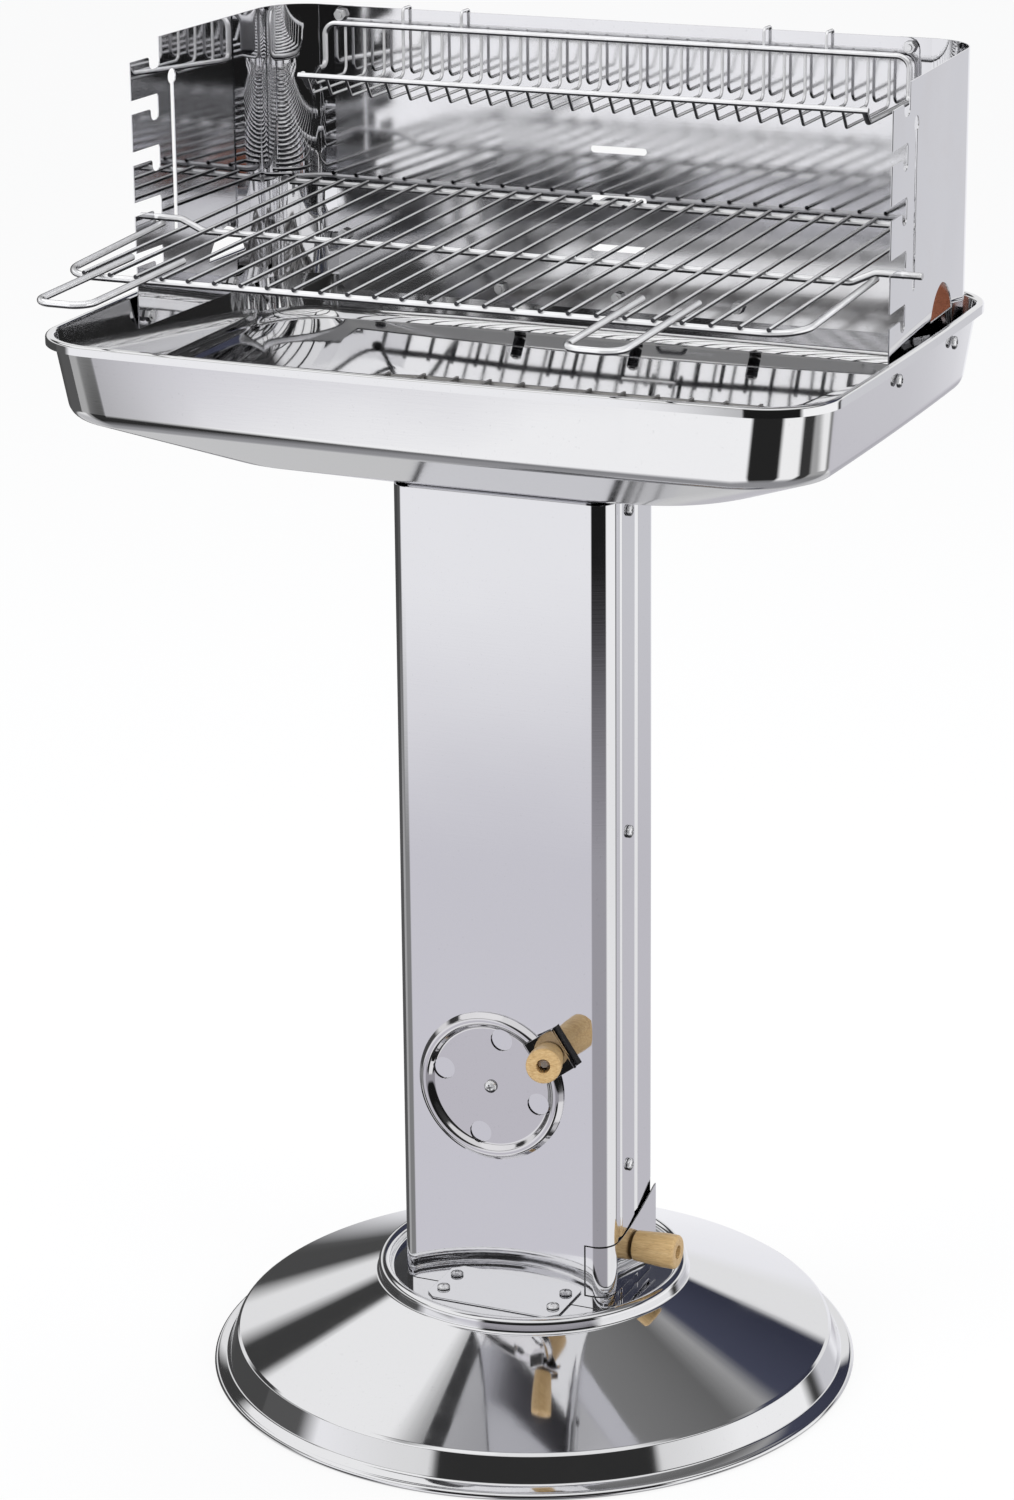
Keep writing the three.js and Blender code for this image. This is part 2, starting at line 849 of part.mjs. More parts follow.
// Turns a piece built with its face upwards and its tab along +X to its place on the column
function ventFrame(mesh) {
  mesh.rotation.order = 'XYZ';
  mesh.rotation.set(90 * degrees, 0, 0);
  mesh.position.set(ventX, ventFace, ventHeight);
  const spin = new THREE.Quaternion().setFromAxisAngle(place(0, 0, 1), ventTabAngle * degrees);
  mesh.quaternion.multiply(spin);
  return mesh;
}

function knobPlaceOnDisc() {
  return [knobSeat, 0, ventTabHeight(knobSeat)];
}

function ventKnob() {
  const tilt = place(Math.sin(ventTabTilt * degrees), 0, Math.cos(ventTabTilt * degrees));
  const seat = place(...knobPlaceOnDisc()).addScaledVector(tilt, windSheet + touch);
  const pieces = [
    meshOf('vent_knob', knobSolid(), wood),
    meshOf('vent_knob_screw', knobScrewSolid(), zinc),
  ];
  return pieces.map((mesh) => {
    const group = new THREE.Group();
    mesh.rotation.y = ventTabTilt * degrees;
    mesh.position.copy(seat);
    group.add(mesh);
    return ventFrame(group);
  });
}

function ventPivot() {
  const front = ventFace - windSheet - touch;
  return screw('vent_pivot_screw', [ventX, front, ventHeight], 'front');
}

// Fire bowl

// A rectangle with round corners and slightly bowed sides, as a ring of points at one height
function ring(halfWidth, halfDepth, corner, bow, height) {
  const points = [];
  const sideShares = [-0.6, -0.2, 0.2, 0.6];
  const radius = Math.min(corner, halfWidth, halfDepth);
  const [ix, iy] = [halfWidth - radius, halfDepth - radius];
  const quarters = [[1, 1, 0], [-1, 1, 90], [-1, -1, 180], [1, -1, 270]];
  for (const [sx, sy, start] of quarters) {
    for (let k = 0; k <= arcSteps; k++) {
      const angle = (start + (k * 90) / arcSteps) * degrees;
      points.push([sx * ix + radius * Math.cos(angle), sy * iy + radius * Math.sin(angle)]);
    }
    const along = sx * sy > 0 ? [-sx, 0] : [0, -sy];
    for (const share of sideShares) {
      const x = along[0] ? along[0] * share * ix : sx * halfWidth;
      const y = along[1] ? along[1] * share * iy : sy * halfDepth;
      points.push([x, y]);
    }
  }
  return points.map(([x, y]) => {
    const pull = 1 - (bow / halfDepth) * (x / halfWidth) ** 2;
    const draw = 1 - (bow / 2 / halfWidth) * (y / halfDepth) ** 2;
    return place(x * draw, y * pull, height);
  });
}

// Rings of equal count joined one after another, and the last to the first
function ringBody(rings) {
  const count = rings[0].length;
  const positions = rings.flat().flatMap((point) => point.toArray());
  const index = [];
  for (let row = 0; row < rings.length; row++) {
    const here = row * count;
    const next = ((row + 1) % rings.length) * count;
    for (let i = 0; i < count; i++) {
      const j = (i + 1) % count;
      index.push(here + i, here + j, next + j, here + i, next + j, next + i);
    }
  }
  const geometry = new THREE.BufferGeometry();
  geometry.setAttribute('position', new THREE.Float32BufferAttribute(positions, 3));
  geometry.setIndex(index);
  return solid(geometry);
}

const bowlHalf = bowlWidth / 2;
const bowlHalfDepth = bowlDepth / 2;
const wallTopHalf = bowlHalf - rimWidth;

// The bowl's wall leans: a screw's head stands off it by this much
const headStand = (screwHeadRadius * wallTaper) / (rimHeight - wallBottomHeight) + touch;

// How far the bowl's inner wall lies inside the rim's edge at a height
function wallInset(height) {
  return rimWidth + (wallTaper * (rimHeight - height)) / (rimHeight - wallBottomHeight);
}

function bowlRing(inset, height, corner = bowlCorner) {
  return ring(bowlHalf - inset, bowlHalfDepth - inset, corner, bowlBow, height);
}

function fireBowl() {
  const hopper = (inset, height) =>
    ring(hopperWidth / 2 - inset, hopperDepth / 2 - inset, hopperCorner, 0, height);
  const spigot = (inset, height) =>
    ring(spigotHalfWidth - inset, spigotHalfDepth - inset, columnCorner, 0, height).map((point) =>
      point.setY(point.y + columnSetback),
    );
  const bottomInset = rimWidth + wallTaper;
  const rings = [
    bowlRing(0, rimHeight - rimLip),
    bowlRing(0, rimHeight - sheet / 2),
    bowlRing(sheet / 2, rimHeight),
    bowlRing(rimWidth, rimHeight),
    bowlRing(bottomInset, wallBottomHeight + sheet),
    hopper(0, hopperHeight + sheet),
    spigot(sheet, spigotTopHeight + sheet),
    spigot(sheet, spigotTopHeight - spigotLength),
    spigot(0, spigotTopHeight - spigotLength),
    spigot(0, spigotTopHeight),
    hopper(0, hopperHeight),
    bowlRing(bottomInset - sheet, wallBottomHeight),
    bowlRing(rimWidth - sheet, rimHeight - sheet),
    bowlRing(sheet, rimHeight - sheet),
    bowlRing(sheet, rimHeight - rimLip),
  ];
  const cutters = [...sideScrewHoles().slice(-1), ...wallScrewHoles(), ...rearScrewHoles()];
  return meshOf('fire_bowl', without(ringBody(rings), cutters), polished);
}

// Charcoal grate: a round-cornered wire frame that rests on the hopper's slope, with cross rods

function coalGrate() {
  const slopeRise = wallBottomHeight - hopperHeight;
  const share = (coalGrateHeight - hopperHeight - sheet) / slopeRise;
  const fit = (wide, narrow) => {
    const run = wide - narrow;
    const lift = (frameWire / 2 + touch + touch) * Math.hypot(1, slopeRise / run);
    return narrow + run * share - (lift * run) / slopeRise;
  };
  const half = fit(bowlHalf - rimWidth - wallTaper, hopperWidth / 2);
  const halfDepth = fit(bowlHalfDepth - rimWidth - wallTaper, hopperDepth / 2);
  const corners = ring(half, halfDepth, hopperCorner, 0, coalGrateHeight);
  const loop = [...corners, corners[0], corners[1]];
  const frame = joined([wire(loop, frameWire), wire([corners[0], corners[1]], frameWire)]);
  const rods = [];
  const rodLevel = coalGrateHeight + frameWire / 2 + rodWire / 2 - weldSink;
  const count = Math.floor((half - frameWire) / coalRodSpacing);
  for (let i = -count; i <= count; i++) {
    const x = i * coalRodSpacing;
    const past = Math.max(Math.abs(x) - (half - hopperCorner), 0);
    const radius = Math.min(hopperCorner, halfDepth);
    const reach = halfDepth - radius + Math.sqrt(Math.max(radius ** 2 - past ** 2, 0));
    rods.push(wire([place(x, -reach, rodLevel), place(x, reach, rodLevel)], rodWire, thinSides));
  }
  const stays = [-1, 1].map((side) =>
    wire(
      [
        place(-half, (side * halfDepth) / 2, coalGrateHeight),
        place(half, (side * halfDepth) / 2, coalGrateHeight),
      ],
      frameWire,
      thinSides,
    ),
  );
  return meshOf('charcoal_grate', joined([frame, ...rods, ...stays]), zinc);
}

// Windshield

// The windshield's outer half width at a place along its sides
function windHalf(y) {
  return windRearHalf + ((windFrontHalf - windRearHalf) * (windRear - y)) / (windRear - stripFront);
}

const stripFront = windFront - hookStripWidth;
const stripTop = windTop - hookStripDrop;
const pocketBack = windFront - hookPocketSetback;

function hookCutters() {
  const across = [-bowlWidth, bowlWidth];
  const pocketFront = pocketBack - hookPocket;
  const cutter = (corners, radii) => {
    const path = rounded(corners.map(([y, z]) => plan(y, z)), radii, bendSteps);
    return slab(path.map((point) => [point.x, point.y]), ...across, 'x');
  };
  const cutters = [];
  for (let i = 0; i < hookCount; i++) {
    const top = hookTop - i * hookPitch;
    const corners = [
      [stripFront - overrun, top],
      [pocketBack, top],
      [pocketBack, top - hookDrop],
      [pocketFront, top - hookDrop],
      [pocketFront, top - hookEntry],
      [stripFront - overrun, top - hookEntry],
    ];
    const radii = [hookCornerRadius, hookPocketRadius, hookPocketRadius, hookCornerRadius];
    cutters.push(cutter(corners, radii));
  }
  const topPocket = hookTop + hookPitch - hookDrop;
  const step = [
    [stripFront - overrun, stripTop],
    [pocketFront, stripTop],
    [pocketFront, topPocket],
    [windFront, topPocket],
    [windFront, windTop + overrun],
    [stripFront - overrun, windTop + overrun],
  ];
  cutters.push(cutter(step, [hookCornerRadius, hookPocketRadius, hookPocketRadius, 0]));
  return cutters;
}

function keySlotCutter() {
  const across = [-bowlWidth, bowlWidth];
  const half = keySlotWidth / 2;
  const slot = slab(
    [
      [keySlotSetback - half, keySlotBottom],
      [keySlotSetback + half, keySlotBottom],
      [keySlotSetback + half, keySlotTop],
      [keySlotSetback - half, keySlotTop],
    ],
    ...across,
    'x',
  );
  return slot.add(disc(keySlotHead, ...across, 'x', [keySlotSetback, keySlotTop]));
}

// A pointed window above the bowl's rim
function archCutter() {
  const rise = archApex - archBase;
  const shoulderShare = 0.75;
  const shoulderRiseShare = 0.85;
  const half = new THREE.QuadraticBezierCurve(
    plan(-archHalfWidth, 0),
    plan(-archHalfWidth * shoulderShare, rise * shoulderRiseShare),
    plan(0, rise),
  ).getPoints(arcSteps);
  const mirrored = half.slice(0, -1).map((point) => plan(-point.x, point.y));
  const outline = [...half, ...mirrored.reverse()];
  const points = outline.map((point) => [archSetback + point.x, archBase + point.y]);
  return slab(points.reverse(), -bowlWidth, bowlWidth, 'x');
}

function wallScrewHoles() {
  return [wallScrewFront, wallScrewBack].map((y) =>
    disc(screwHole, -bowlWidth, bowlWidth, 'x', [y, wallScrewHeight]),
  );
}

function rearScrewPlaces() {
  return [-rearScrewSpacing, 0, rearScrewSpacing];
}

function rearScrewHoles() {
  return rearScrewPlaces().map((x) =>
    disc(screwHole, 0, bowlDepth, 'y', [x, rearScrewHeight]),
  );
}

function jointScrewPlaces() {
  const x = rearSheetHalf - jointScrewInset;
  const high = windTop - jointScrewInset;
  return [
    ['high_left', -x, high],
    ['high_right', x, high],
    ['low_left', -x, jointScrewLow],
    ['low_right', x, jointScrewLow],
  ];
}

function jointHoles() {
  return jointScrewPlaces().map(([, x, z]) => disc(screwHole, 0, bowlDepth, 'y', [x, z]));
}

function sidePanel(side) {
  const path = rounded(
    [
      plan(-windHalf(stripFront), stripFront),
      plan(-windRearHalf, windRear),
      plan(-rearSheetHalf + windReturn / 2, windRear),
    ],
    windCorner,
  );
  const outline = strip([...path].reverse(), windSheet).map(([x, y]) => [-side * x, y]);
  const wall = slab(outline, windBottom, windTop, 'z');
  const cutters = [
    ...hookCutters(),
    keySlotCutter(),
    archCutter(),
    ...wallScrewHoles(),
    ...jointHoles(),
  ];
  return without(wall, cutters);
}

function rearSheet() {
  const corner = windCorner / 4;
  const outline = rounded(
    [
      plan(-rearSheetHalf, windRearBottom),
      plan(-rearSheetHalf, windTop),
      plan(rearSheetHalf, windTop),
      plan(rearSheetHalf, windRearBottom),
    ],
    corner,
  ).map((point) => [point.x, point.y]);
  const back = windInnerRear + windSheet;
  const slots = [];
  for (let i = 0; i < rearSlotCount; i++) {
    const top = rearSlotTop + rearSlotHeight / 2 - i * hookPitch;
    slots.push(
      block(
        [-rearSlotWidth / 2, 0, top - rearSlotHeight],
        [rearSlotWidth / 2, bowlDepth, top],
      ),
    );
  }
  const body = slab(outline, windInnerRear, back, 'y');
  return without(body, [...slots, ...jointHoles(), ...rearScrewHoles()]);
}

function windshield() {
  return [
    meshOf('windshield_left', sidePanel(-1), polished),
    meshOf('windshield_right', sidePanel(1), polished),
    meshOf('windshield_rear', rearSheet(), polished),
  ];
}

// Screws that join the windshield's sheets, with their nuts on the inside
function jointFasteners() {
  return jointScrewPlaces().flatMap(([name, x, z]) => [
    screw(`windshield_screw_${name}`, [x, windRear + touch, z], 'back', jointScrewLength),
    nut(`windshield_nut_${name}`, [x, windInnerRear - touch, z], 'front'),
  ]);
}

function sleeveSolid(length) {
  const radius = screwHeadRadius;
  const body = disc(radius, 0, length, 'z', [0, 0]);
  return body.subtract(disc(screwHole, -overrun, length + overrun, 'z', [0, 0]));
}

// Screws from outside the bowl through its wall, a sleeve where there is a gap, and the windshield
function wallFasteners() {
  const pieces = [];
  const outer = bowlHalf - wallInset(wallScrewHeight);
  for (const [end, y] of [['front', wallScrewFront], ['back', wallScrewBack]]) {
    for (const [name, side, inward] of [['left', -1, 'right'], ['right', 1, 'left']]) {
      const wall = outer - (bowlBow / 2) * (y / bowlHalfDepth) ** 2;
      const panel = windHalf(y) - windSheet * 2;
      const x = side * (wall + sheet + headStand);
      pieces.push(screw(`bowl_screw_${end}_${name}`, [x, y, wallScrewHeight], name));
      const inside = side * (panel + windSheet / 2 - touch);
      pieces.push(nut(`bowl_nut_${end}_${name}`, [inside, y, wallScrewHeight], inward));
      const gap = wall - windHalf(y) - touch - headStand;
      if (gap > sheet * 2) {
        const start = side * (windHalf(y) + touch);
        const sleeve = meshOf(`wall_sleeve_${end}_${name}`, sleeveSolid(gap), zinc);
        pieces.push(placed(sleeve, [start, y, wallScrewHeight], name));
      }
    }
  }
  return pieces;
}

function rearFasteners() {
  const pieces = [];
  const wall = bowlHalfDepth - wallInset(rearScrewHeight);
  const names = ['left', 'middle', 'right'];
  rearScrewPlaces().forEach((x, i) => {
    const face = wall - bowlBow * (x / bowlHalf) ** 2;
    const length = face - windInnerRear + screwLength / 2 + sheet;
    const head = [x, face + sheet + headStand, rearScrewHeight];
    const sleeve = face - windInnerRear - windSheet - touch - headStand;
    const seat = [x, windInnerRear + windSheet + touch, rearScrewHeight];
    pieces.push(
      screw(`rear_screw_${names[i]}`, head, 'back', length),
      placed(meshOf(`rear_sleeve_${names[i]}`, sleeveSolid(sleeve), zinc), seat, 'back'),
      nut(`rear_nut_${names[i]}`, [x, windInnerRear - touch, rearScrewHeight], 'front'),
    );
  });
  return pieces;
}

// Cooking grate: built level about its rear hook, then tipped so that its front sags

const hookWireLine = hookWireSetback - hookLine;
const grateTilt = Math.asin(grateSag / -hookWireLine);
const pocketFloor = hookTop - 2 * hookPitch - hookDrop;

function cookingGrate() {
  const front = grateFront - hookLine;
  const rear = windInnerRear - rearWireGap - hookLine;
  const rodLevel = frameWire / 2 + rodWire / 2 - weldSink - touch;
  const raised = (pocketFloor + touch + frameWire / 2 - hookHeight + grateSag) / Math.cos(grateTilt);
  const sideRise = raised - frameWire + weldSink;
  const frame = wire(
    rounded(
      [
        place(-grateLeft, hookWireLine, sideRise),
        place(-grateLeft, front, 0),
        place(grateRight, front, 0),
        place(grateRight, hookWireLine, sideRise),
      ],
      grateCorner,
    ),
    frameWire,
  );
  const rampFoot = grateRight - hookWireRamp;
  const hooks = wire(
    rounded(
      [
        place(-hookWireReach, hookWireLine, raised),
        place(-grateRight, hookWireLine, raised),
        place(-rampFoot, hookWireLine, 0),
        place(rampFoot, hookWireLine, 0),
        place(grateRight, hookWireLine, raised),
        place(hookWireReach, hookWireLine, raised),
      ],
      frameWire,
      bendSteps,
    ),
    frameWire,
  );
  const lastRod = firstRod + (rodCount - 1) * rodSpacing;
  const rearWire = wire(
    [place(firstRod - rodWire, rear, 0), place(lastRod + rodWire, rear, 0)],
    frameWire,
  );
  const rods = [];
  for (let i = 0; i < rodCount; i++) {
    const x = firstRod + i * rodSpacing;
    rods.push(
      wire(
        [place(x, front - rodWire, rodLevel), place(x, rear + rodWire, rodLevel)],
        rodWire,
        thinSides,
      ),
    );
  }
  const loopHalf = hookLoopWidth / 2;
  const loop = wire(
    rounded(
      [
        place(-loopHalf, rear - frameWire, 0),
        place(-loopHalf, frameWire, 0),
        place(loopHalf, frameWire, 0),
        place(loopHalf, rear - frameWire, 0),
      ],
      rodWire,
      bendSteps,
    ),
    rodWire,
  );
  const handles = [leftHandleInset - grateLeft, grateRight - rightHandleInset];
  const grips = handles.map((x) => gripLoop(x, front));
  const body = joined([frame, hooks, rearWire, loop, ...rods, ...grips]);
  const mesh = meshOf('cooking_grate', body, chromed);
  mesh.position.set(0, hookLine, hookHeight);
  mesh.rotation.x = grateTilt;
  return mesh;
}

function gripLoop(x, front) {
  const level = frameWire - weldSink;
  const tip = -handleTip + frameWire / 2 - hookLine;
  const half = handleWidth / 2;
  return wire(
    rounded(
      [
        place(x - half, front + handleRoot, level),
        place(x - half, tip, level),
        place(x + half, tip, level),
        place(x + half, front + handleRoot, level),
      ],
      handleCorner,
    ),
    frameWire,
  );
}

// Warming rack: one thick wire runs round its back and ends, a second along its front. Thin wires
// bent into a shallow tray are welded to both, and four of them go on over the rear sheet as hooks.
// The tray's left front corner is cut off, and the short wire there ends on the thick one.

function warmingRack() {
  const back = windInnerRear - rackBackGap - rackThinWire / 2;
  const front = back - rackDepth;
  const frameBack = back - rackThinWire / 2 - rackWire / 2 + weldSink;
  const frameFloor = rackFloorHeight + rackEndRise;
  const frontWireLine = front - rackLipReach - rackWire / 2;
  const frontWireHeight = rackFloorHeight + rackLipHeight;
  const spacing = (rackRight - rackLeft) / (rackWireCount - 1);
  const weldedPair = (rackWire + rackThinWire) / 2 - weldSink;
  const frontLeft = rackLeft + spacing * (rackShortWireCount + 1) - weldedPair;
  const straightEnd = frameBack - rackEndStraight;
  const lip = (x, floor) => [
    place(x, front - rackLipReach, frontWireHeight),
    place(x, front, floor),
  ];
  const shortEnd = (x) => {
    const share = (frontLeft - x) / (frontLeft - rackLeft);
    const meeting = front + (straightEnd - front) * share;
    return [
      place(x, meeting, frameFloor),
      place(x, meeting + rackEndRise, rackFloorHeight),
    ];
  };
  const wires = [];
  for (let i = 1; i < rackWireCount - 1; i++) {
    const x = rackLeft + i * spacing;
    const fromEnd = Math.min(i, rackWireCount - 1 - i);
    const hooked = fromEnd === rackOuterHookCount || fromEnd === rackInnerHookCount;
    const top = windTop + touch + rackThinWire / 2;
    const beyond = hookLine * 2 - back;
    const ends = hooked
      ? [place(x, back, top), place(x, beyond, top), place(x, beyond, windTop - rackHookDrop)]
      : [place(x, back, rackTopHeight)];
    const bends = [rackThinWire, rackBend];
    if (hooked) bends.push(rackThinWire, rackThinWire);
    const start = i <= rackShortWireCount ? shortEnd(x) : lip(x, rackFloorHeight);
    const path = [...start, place(x, back, rackFloorHeight), ...ends];
    wires.push(wire(rounded(path, bends, bendSteps), rackThinWire, thinSides));
  }
  const frame = wire(
    rounded(
      [
        ...lip(frontLeft, frameFloor),
        place(rackLeft, straightEnd, frameFloor),
        place(rackLeft, frameBack, frameFloor),
        place(rackLeft, frameBack, rackTopHeight - weldSink),
        place(rackRight, frameBack, rackTopHeight - weldSink),
        place(rackRight, frameBack, frameFloor),
        ...lip(rackRight, frameFloor).reverse(),
      ],
      [rackWire, rackBend, rackBend, rackCorner, rackCorner, rackBend, rackWire],
      bendSteps,
    ),
    rackWire,
  );
  const frontWire = wire(
    [
      place(frontLeft - rackWire / 2, frontWireLine, frontWireHeight - weldSink),
      place(rackRight + rackWire, frontWireLine, frontWireHeight - weldSink),
    ],
    rackWire,
  );
  return meshOf('warming_rack', joined([...wires, frame, frontWire]), chromed);
}

// The whole barbecue

const barbecue = new THREE.Group();
barbecue.add(
  baseDish(),
  ...footFasteners(),
  frontChannel(),
  rearChannel(),
  ...sideScrews(),
  drawerFront(),
  drawerTray(),
  ...drawerKnob(),
  drawerGuide(),
  ventDisc(),
  ...ventKnob(),
  ventPivot(),
  fireBowl(),
  coalGrate(),
  ...windshield(),
  ...jointFasteners(),
  ...wallFasteners(),
  ...rearFasteners(),
  cookingGrate(),
  warmingRack(),
);

export default barbecue;
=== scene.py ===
# A polished stainless-steel charcoal barbecue on a column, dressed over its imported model. Metres.
import math
import random

import bpy
import bmesh
from mathutils import Matrix, Vector


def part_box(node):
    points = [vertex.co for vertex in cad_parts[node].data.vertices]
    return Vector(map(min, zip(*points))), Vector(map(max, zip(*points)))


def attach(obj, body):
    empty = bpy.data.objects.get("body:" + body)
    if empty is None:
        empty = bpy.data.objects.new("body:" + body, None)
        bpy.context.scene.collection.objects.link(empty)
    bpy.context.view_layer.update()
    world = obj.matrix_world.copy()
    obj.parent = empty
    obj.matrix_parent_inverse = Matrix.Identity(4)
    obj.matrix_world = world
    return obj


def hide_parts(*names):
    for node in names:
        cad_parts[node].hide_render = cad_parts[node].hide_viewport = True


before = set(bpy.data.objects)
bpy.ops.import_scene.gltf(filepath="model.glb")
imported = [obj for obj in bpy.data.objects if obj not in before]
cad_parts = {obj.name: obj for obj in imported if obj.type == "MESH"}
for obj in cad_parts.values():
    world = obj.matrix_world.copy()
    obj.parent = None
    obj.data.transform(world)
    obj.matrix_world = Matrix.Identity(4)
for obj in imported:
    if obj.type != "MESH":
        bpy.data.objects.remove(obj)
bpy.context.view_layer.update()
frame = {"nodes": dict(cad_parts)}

# Camera, in the frame's own axes
CAMERA_PLACE = (1.1475, -2.6698, 1.4252)
CAMERA_YAW = 0.41
CAMERA_PITCH = 0.317
CAMERA_ROLL = -0.0092
CAMERA_LENS = 104.09

# Sheets and wires
HEAVY_SHEET = 0.0015
SHEET = 0.0012
WIND_SHEET = 0.001
GAP = 0.0003
FRAME_WIRE = 0.005
ROD_WIRE = 0.003
RACK_WIRE = 0.0042
RACK_THIN_WIRE = 0.0022

# Base dish
BASE_RADIUS = 0.236
BASE_SETBACK = 0.0105
ROLL_RADIUS = 0.0029
ROLL_START = 105
ROLL_SWEEP = 300
FLANGE_HEIGHT = 0.0052
SKIRT_FOOT = (0.2262, 0.0078)
SKIRT_TOP = (0.219, 0.0262)
CONE_FOOT = (0.2168, 0.0278)
CONE_TOP = (0.1145, 0.069)
COLLAR_OUTER = 0.1138
COLLAR_INNER = 0.1048
COLLAR_TOP = 0.079
PLATE_HEIGHT = 0.0705
BASE_ROUNDS = (0.0025, 0.004, 0.004, 0.003, 0.0025, 0.002, 0.003)

# Column
COLUMN_HALF = 0.0825
COLUMN_FRONT = -0.043
COLUMN_BACK = 0.047
COLUMN_CORNER = 0.014
COLUMN_TOP = 0.667
GROOVE_DEPTH = 0.0009
GROOVE_WIDTH = 0.008
GROOVE_SLOPE = 0.002
LAP_END = 0.004
LAP_LENGTH = 0.021
JOG_LENGTH = 0.006
FOLD_ROUND = 0.002
SIDE_SCREW_SETBACK = -0.007
SIDE_SCREW_HEIGHTS = (0.171, 0.424, 0.657)
FOOT_TAB_HALF = 0.0515
FOOT_TAB_REACH = 0.028
FOOT_TAB_CHAMFER = 0.007

# Ash drawer
DRAWER_SEAM_X = 0.0635
DRAWER_LOW = 0.0802
DRAWER_TOP = 0.118
DRAWER_BACK_TOP = 0.138
DRAWER_BACK = 0.039
DRAWER_FLARE = 0.003
DRAWER_SEAM = 0.001
DRAWER_GAP_RISE = 0.005
DRAWER_CUT = (0.02, 0.12)
TRAY_CORNER = 0.004

# Vent
VENT_CENTRE = (-0.0085, -0.0433, 0.2315)
VENT_RADIUS = 0.056
VENT_BORE = 0.0026
VENT_RING_INNER = 0.045
VENT_RING_HEIGHT = 0.0034
VENT_HOLE_RADIUS = 0.0083
VENT_HOLE_CIRCLE = 0.0375
VENT_HOLE_ANGLE = 77
VENT_HOLES = 4
VENT_TAB_ANGLE = 34
VENT_TAB_TILT = 20
VENT_TAB_HALF = 0.016
VENT_TAB_INNER = 0.046
VENT_TAB_OUTER = 0.0685
VENT_TAB_RISE = 0.0098
VENT_TAB_LIP = 0.0045
VENT_ROUNDS = (0.003, 0.0035, 0.0035)
VENT_TAB_ROUNDS = (0.0015, 0.0012)

# Knobs
KNOB_LENGTH = 0.033
KNOB_RADIUS = 0.0125
KNOB_FOOT_RADIUS = 0.011
KNOB_ROUND = 0.0024
KNOB_BORE = 0.0049
KNOB_BORE_DEPTH = 0.011
KNOB_WAIST_SHARE = 0.35
KNOB_ROUNDS = (0.0003, 0.0007, KNOB_ROUND, 0.03, 0.02, 0.0012)

# Bowl
BOWL_HALF = 0.285
BOWL_HALF_DEPTH = 0.199
BOWL_CORNER = 0.049
BOWL_BOW = 0.007
RIM_HEIGHT = 0.784
RIM_LIP = 0.0066
RIM_WIDTH = 0.005
WALL_TAPER = 0.0072
WALL_BOTTOM = 0.7292
HOPPER_HALF = 0.2025
HOPPER_HALF_DEPTH = 0.12
HOPPER_CORNER = 0.078
HOPPER_HEIGHT = 0.6942
SPIGOT_HALF = 0.0783
SPIGOT_HALF_DEPTH = 0.0423
SPIGOT_CORNER = 0.014
SPIGOT_SETBACK = 0.002
SPIGOT_TOP = 0.6702
SPIGOT_BOTTOM = 0.647
RING_STEP = 0.001
BOWL_ROUNDS = (0.002, 0.0024, 0.012, 0.03, 0.004)

# Windshield
WIND_TOP = 0.959
WIND_BOTTOM = 0.76
WIND_REAR = 0.182
WIND_REAR_HALF = 0.2668
WIND_FRONT_HALF = 0.2764
WIND_STRIP_FRONT = -0.0353
WIND_FRONT = 0.0047
WIND_CORNER = 0.037
WIND_RETURN = 0.015
STRIP_TOP = 0.9466
REAR_HALF = 0.223
HOOK_TOP = 0.92
HOOK_PITCH = 0.0356
HOOK_ENTRY = 0.0095
HOOK_DROP = 0.018
HOOK_BACK = 0.0012
HOOK_FRONT = -0.0098
HOOK_ROUND = 0.0048
HOOK_SMALL_ROUND = 0.0022
HOOK_COUNT = 4
KEY_SLOT_Y = 0.0205
KEY_SLOT_WIDTH = 0.005
KEY_SLOT_HEAD = 0.0055
KEY_SLOT_TOP = 0.929
KEY_SLOT_BOTTOM = 0.818
ARCH_Y = 0.092
ARCH_HALF = 0.027
ARCH_BASE = 0.787
ARCH_APEX = 0.8095
REAR_SLOT = (0.043, 0.005)
REAR_SLOT_TOP = 0.8668
REAR_SLOTS = 3
REAR_CORNER = 0.009
REAR_CUT = (0.1, 0.25)
SIDE_CUT = (0.24, 0.3)

# Cooking grate, level about its rear hook before it is tipped
GRATE_LEFT = -0.271
GRATE_RIGHT = 0.256
GRATE_FRONT = -0.1526
GRATE_CORNER = 0.025
GRATE_SAG = 0.0045
HOOK_WIRE_Y = -0.0041
HOOK_WIRE_REACH = 0.288
HOOK_WIRE_RAMP = 0.017
ROD_COUNT = 26
ROD_SPACING = 0.0195185
FIRST_ROD = -0.2514815
REAR_WIRE_Y = 0.1667
HOOK_LINE_Y = 0.1802
HOOK_LINE_Z = 0.8305
HOOK_LOOP_HALF = 0.011
WELD_SINK = 0.001
GRIP_TIP = -0.2465
GRIP_HALF = 0.0195
GRIP_CORNER = 0.013
GRIP_ROOT = 0.045
GRIPS_X = (-0.221, 0.1515)
RAMP_ROUND = 0.01
HOOK_LOOP_CORNER = 0.004
ROD_BOW = 0.0004
ROD_DIP = 0.0002
GRATE_BEAD = 0.0019
BEAD_SINK = 0.001
BEAD_FLATNESS = 0.7

